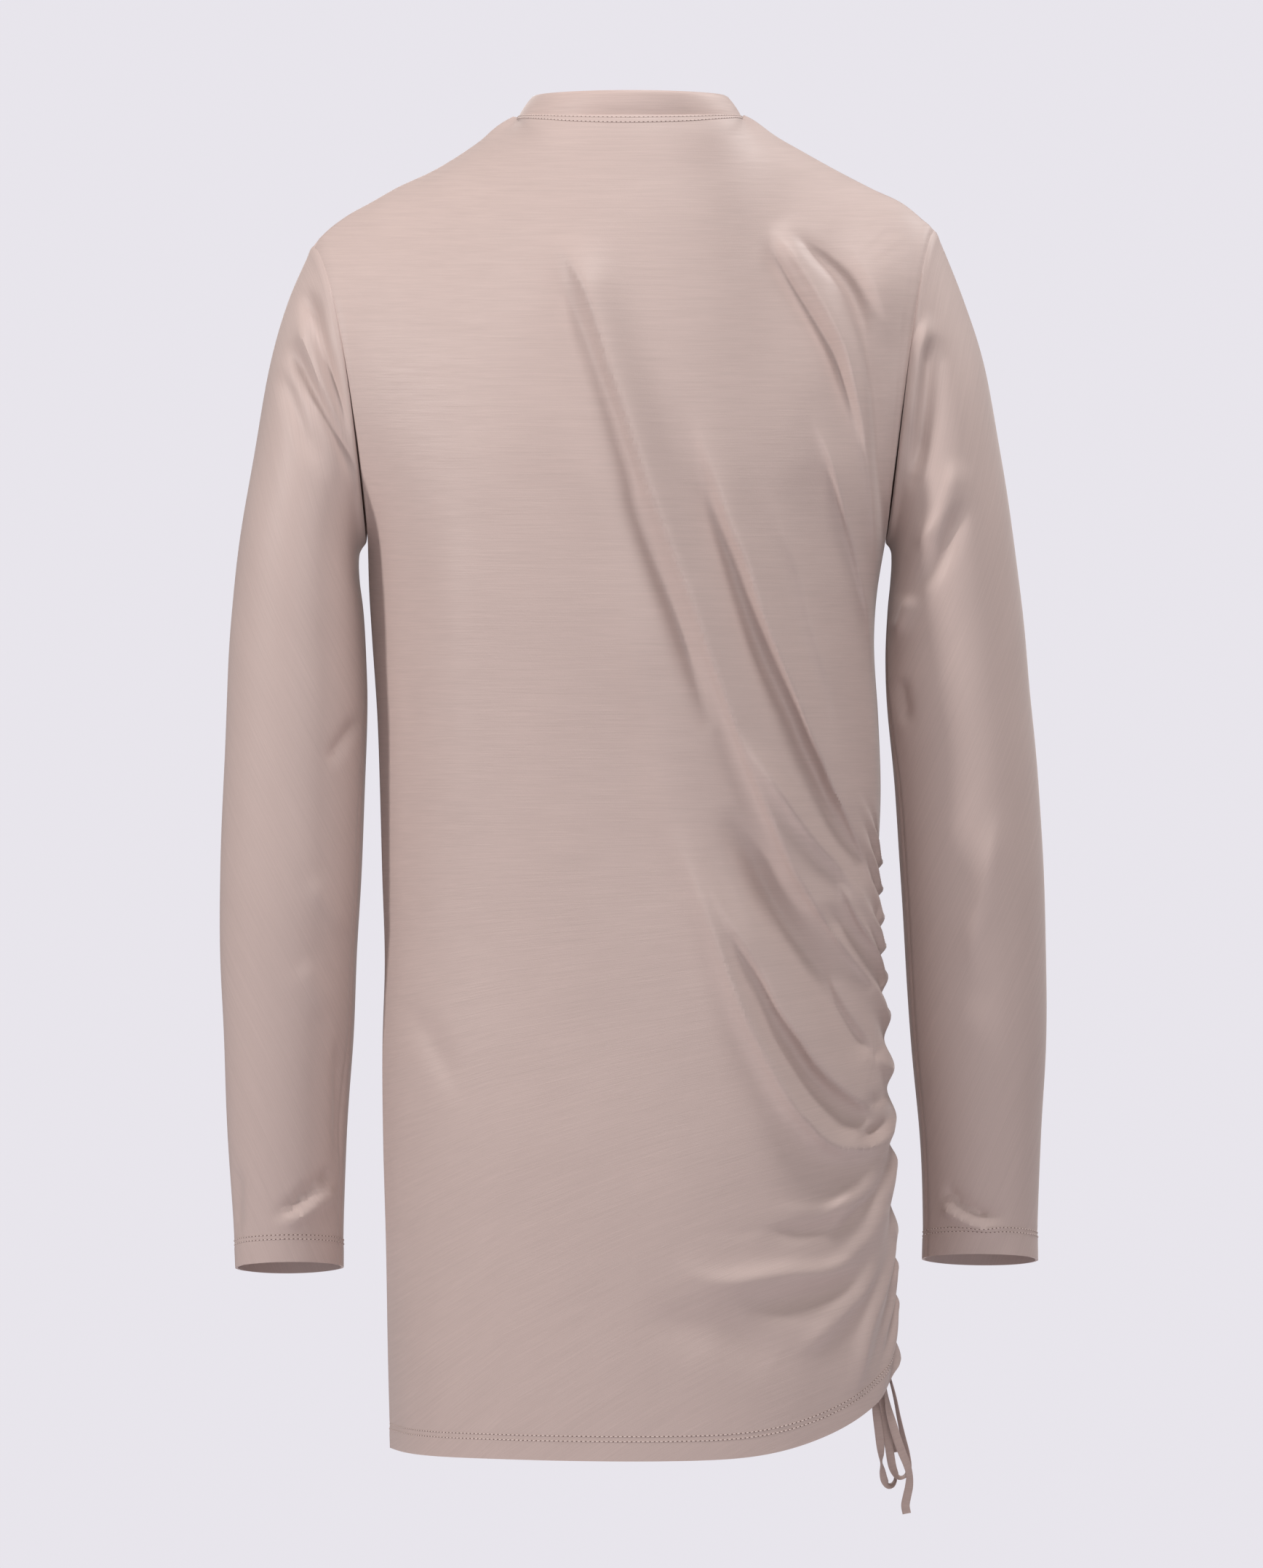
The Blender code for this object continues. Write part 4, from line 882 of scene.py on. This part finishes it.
def tape_piece(name, route, material):
    """A stretch of flat tape along its route, its edges rounded and a little curled."""
    route = smooth_line(route, 6)
    centre = route[:, :3]
    tangents = unit(np.gradient(centre, axis=0))
    edge_on = unit(np.array([0, 1, 0]) - tangents * tangents[:, 1:2])
    angle = np.radians(route[:, 3:4])
    width = np.cross(tangents, edge_on) * np.cos(angle) + edge_on * np.sin(angle)
    turn, flat = tape_section(TAPE_SIDES, TAPE_WIDTH)
    deep = np.sin(turn) * TAPE_THICKNESS / 2 + TAPE_CURL * flat**2 - TAPE_SUNK
    vertices = swept(centre, width, np.cross(tangents, width), flat, deep)
    run = along(centre)
    corners = ((0, 0), (1, 0), (1, 1), (0, 1))
    charts = [(k + a, run[i + b]) for i in range(len(run) - 1) for k in range(TAPE_SIDES) for a, b in corners]
    charts += [(k + a, b) for k in range(TAPE_SIDES // 2 - 1) for a, b in corners] * 2
    return mesh_piece(name + "_shown", vertices, tube_faces(len(run), TAPE_SIDES), material, charts), centre


def knot_piece(material):
    """The knot: the tape wound round itself."""
    t = np.linspace(0, 1, KNOT_STEPS)
    angle = t * KNOT_TURNS * 2 * math.pi
    x = np.cos(angle) * (KNOT_HALF[0] - 0.7 * np.sin(angle * 2 / 3))
    y = np.sin(angle) * KNOT_HALF[1]
    z = (t - 0.5) * KNOT_HEIGHT + x * np.sin(t * 2 * math.pi) * 0.25
    centre = np.asarray(KNOT_MIDDLE) + np.stack([x, y, z], axis=-1)
    tangents = unit(np.gradient(centre, axis=0))
    width = unit(np.cross(tangents, unit(np.stack([x, y, 0 * x], axis=-1))))
    turn, flat = tape_section(KNOT_SIDES, TAPE_WIDTH * 0.8)
    vertices = swept(centre, width, np.cross(width, tangents), flat, np.sin(turn))
    return mesh_piece("knot_shown", vertices, tube_faces(KNOT_STEPS, KNOT_SIDES), material)


def casing_grid(back, front):
    """The channel's strip: the two panels' own points beside the gathered seam, moved in."""
    rows = np.arange(ARMHOLE_ROWS + CASING_FROM, ARMHOLE_ROWS + TRUNK_ROWS - 3)
    points, normals = [], []
    for cloth, columns in ((back, range(-1 - CASING_HALF, 0)), (front, range(-2, -2 - CASING_HALF, -1))):
        for c in columns:
            normals.append(cloth.normals[rows, c])
            points.append(cloth.points[rows, c] - cloth.normals[rows, c] * (CLOTH + 0.3))
    points, normals = np.stack(points, axis=1), np.stack(normals, axis=1)
    u = np.arange(points.shape[1]) * 2.0 + 0 * points[..., 0]
    return Cloth(points, normals, u, along(points), np.full(points.shape[:2], CASING_CLOTH))


# Materials

def feed(tree, node, inputs):
    """Set a node's sockets to values, or link them to other nodes' outputs."""
    for name, value in inputs.items():
        if isinstance(value, bpy.types.NodeSocket):
            tree.links.new(value, node.inputs[name])
        else:
            node.inputs[name].default_value = value
    return node


def new_material(name):
    material = bpy.data.materials.new(name)
    material.use_nodes = True
    return material, material.node_tree, material.node_tree.nodes["Principled BSDF"]


def scaled_noise(tree, source, scale, detail, rough=0.5):
    """Noise read from coordinates in metres, with its own scale in each direction."""
    mapping = feed(tree, tree.nodes.new("ShaderNodeMapping"), {"Vector": source, "Scale": (*scale, 1)})
    noise = tree.nodes.new("ShaderNodeTexNoise")
    feed(tree, noise, {"Vector": mapping.outputs["Vector"], "Scale": 1, "Detail": detail, "Roughness": rough})
    return noise.outputs["Fac"]


def ranged(tree, noise, low, high, start=0.3, end=0.7):
    """A noise spread from low to high."""
    node = tree.nodes.new("ShaderNodeMapRange")
    feed(tree, node, {"Value": noise, "From Min": start, "From Max": end, "To Min": low, "To Max": high})
    return node.outputs["Result"]


def times(tree, one, two):
    node = tree.nodes.new("ShaderNodeMath")
    node.operation = "MULTIPLY"
    return feed(tree, node, {0: one, 1: two}).outputs["Value"]


def tinted(tree, colour, shade):
    node = tree.nodes.new("ShaderNodeVectorMath")
    node.operation = "SCALE"
    return feed(tree, node, {0: colour, "Scale": shade}).outputs["Vector"]


def jersey(name, colour, slub=0.03, rough=0.56):
    """Fine slub jersey: thin uneven course lines, a faint mottle and a soft satin sheen."""
    material, tree, shader = new_material(name)
    coordinates = tree.nodes.new("ShaderNodeUVMap")
    coordinates.uv_map = "cloth"
    source = coordinates.outputs["UV"]
    courses = scaled_noise(tree, source, (40, 1100), 2)
    slubs = scaled_noise(tree, source, (14, 420), 3, 0.6)
    mottle = scaled_noise(tree, source, (26, 34), 3)
    wales = scaled_noise(tree, source, (1500, 700), 1)
    lines = ranged(tree, courses, 1 - slub, 1 + slub)
    shade = times(tree, lines, ranged(tree, slubs, 1 - slub, 1 + slub * 0.8))
    shade = times(tree, shade, ranged(tree, mottle, 1 - slub * 0.4, 1 + slub * 0.4))
    height = times(tree, ranged(tree, courses, 0.6, 1.0), ranged(tree, wales, 0.75, 1.0))
    bump = tree.nodes.new("ShaderNodeBump")
    feed(tree, bump, {"Height": height, "Strength": 0.28, "Distance": 0.0003})
    feed(tree, shader, {
        "Base Color": tinted(tree, colour, shade),
        "Roughness": ranged(tree, slubs, rough + 0.04, rough - 0.04),
        "Normal": bump.outputs["Normal"],
        "Sheen Weight": 0.30,
        "Sheen Roughness": 0.38,
        "Sheen Tint": (1.0, 0.93, 0.90, 1),
        "Specular IOR Level": 0.38,
    })
    return material


def plain_material(name, colour, rough):
    material, tree, shader = new_material(name)
    feed(tree, shader, {"Base Color": (*colour, 1), "Roughness": rough})
    return material


def thread_material(name, colour):
    """Sewing thread: a slightly shiny yarn, mottled by its twist."""
    material, tree, shader = new_material(name)
    place = tree.nodes.new("ShaderNodeTexCoord").outputs["Object"]
    ply = ranged(tree, scaled_noise(tree, place, (2600, 2600), 2), 0.9, 1.1, 0, 1)
    feed(tree, shader, {"Base Color": tinted(tree, colour, ply), "Roughness": 0.5})
    return material


# The garment

def covered(node, name, grid, material):
    """The shell of cloth that is shown for one of the part's nodes."""
    piece = shell(name, grid, material)
    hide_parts(node)
    return piece


def dress():
    body = jersey("jersey", BODY_COLOUR)
    band = jersey("neckband_jersey", BAND_COLOUR, slub=0.04)
    inside = jersey("casing_jersey", CASING_COLOUR)
    tape = jersey("tape_jersey", TAPE_COLOUR, slub=0.04, rough=0.6)
    thread = thread_material("thread", THREAD_COLOUR)
    # Dark material for the bars of painted shadow between the stitches
    stitch_shadow = plain_material("painted_stitch_shadow", STITCH_SHADOW_COLOUR, 0.9)

    back, front = panel_grid(BACK), panel_grid(FRONT)
    neck_columns = slice(LEFT_COLUMNS, LEFT_COLUMNS + NECK_COLUMNS + 1)
    for node, grid in (("back_panel", back), ("front_panel", front)):
        piece = covered(node, node + "_cloth", grid, body)
        hem = coverstitch(node + "_hem", [grid.line(row, from_last=True) for row in HEM_ROWS], thread, stitch_shadow)
        neck = coverstitch(node + "_neck", [grid.line(row, neck_columns) for row in NECK_ROWS], thread, stitch_shadow)

    for side, node in ((-1, "sleeve_left"), (1, "sleeve_right")):
        grid = sleeve_grid(side)
        piece = covered(node, node + "_cloth", grid, body)
        lines = [grid.line(row, from_last=True) for row in CUFF_ROWS]
        rows = coverstitch(node + "_cuff", lines, thread, stitch_shadow, closed=True)

    piece = covered("neckband", "neckband_cloth", band_grid(), band)
    piece = covered("drawstring_casing", "casing_cloth", casing_grid(back, front), inside)

    knot = knot_piece(tape)
    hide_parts("drawstring_knot")
    for node, route in TAPES.items():
        piece, path = tape_piece(node, route, tape)
        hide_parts(node)


# Studio and camera

def area_light(name, place, size, power, colour):
    data = bpy.data.lights.new(name, "AREA")
    data.shape = "DISK"
    data.size = size
    data.energy = power
    data.color = colour
    light = bpy.data.objects.new(name, data)
    bpy.context.scene.collection.objects.link(light)
    light.location = place
    direction = Vector(LIGHT_TARGET) - Vector(place)
    light.rotation_euler = direction.to_track_quat("-Z", "Y").to_euler()


def studio():
    scene = bpy.context.scene
    scene.view_settings.view_transform = "Standard"
    scene.world = bpy.data.worlds.new("studio")
    scene.world.use_nodes = True
    tree = scene.world.node_tree
    fill = feed(tree, tree.nodes["Background"], {"Color": (*FILL, 1), "Strength": FILL_STRENGTH})
    paper = feed(tree, tree.nodes.new("ShaderNodeBackground"), {"Color": (*BACKDROP, 1)})
    to_camera = tree.nodes.new("ShaderNodeLightPath").outputs["Is Camera Ray"]
    either = tree.nodes.new("ShaderNodeMixShader")
    feed(tree, either, {0: to_camera, 1: fill.outputs["Background"], 2: paper.outputs["Background"]})
    feed(tree, tree.nodes["World Output"], {"Surface": either.outputs["Shader"]})

    floor = bpy.data.meshes.new("floor")
    reach, back, low = FLOOR
    corners = [(-reach, -reach, low), (reach, -reach, low), (reach, back, low), (-reach, back, low)]
    floor.from_pydata(corners, [], [(0, 1, 2, 3)])
    floor.materials.append(plain_material("floor", FLOOR_COLOUR, 0.9))
    ground = bpy.data.objects.new("floor", floor)
    scene.collection.objects.link(ground)

    for light in LIGHTS:
        area_light(*light)

    data = bpy.data.cameras.new("camera")
    data.sensor_width = SENSOR
    data.lens = SENSOR * CAMERA_DISTANCE / FRAME_HEIGHT
    camera = bpy.data.objects.new("camera", data)
    scene.collection.objects.link(camera)
    camera.location = (VIEW_MIDDLE[0], -CAMERA_DISTANCE, VIEW_MIDDLE[1])
    camera.rotation_euler = (math.pi / 2, 0, 0)
    scene.camera = camera


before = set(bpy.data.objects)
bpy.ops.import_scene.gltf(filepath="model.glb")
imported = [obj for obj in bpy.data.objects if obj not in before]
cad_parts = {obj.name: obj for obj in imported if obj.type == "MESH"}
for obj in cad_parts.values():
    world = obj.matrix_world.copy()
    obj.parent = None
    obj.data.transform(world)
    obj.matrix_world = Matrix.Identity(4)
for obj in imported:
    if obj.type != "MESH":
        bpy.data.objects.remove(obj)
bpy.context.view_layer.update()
dress()
studio()
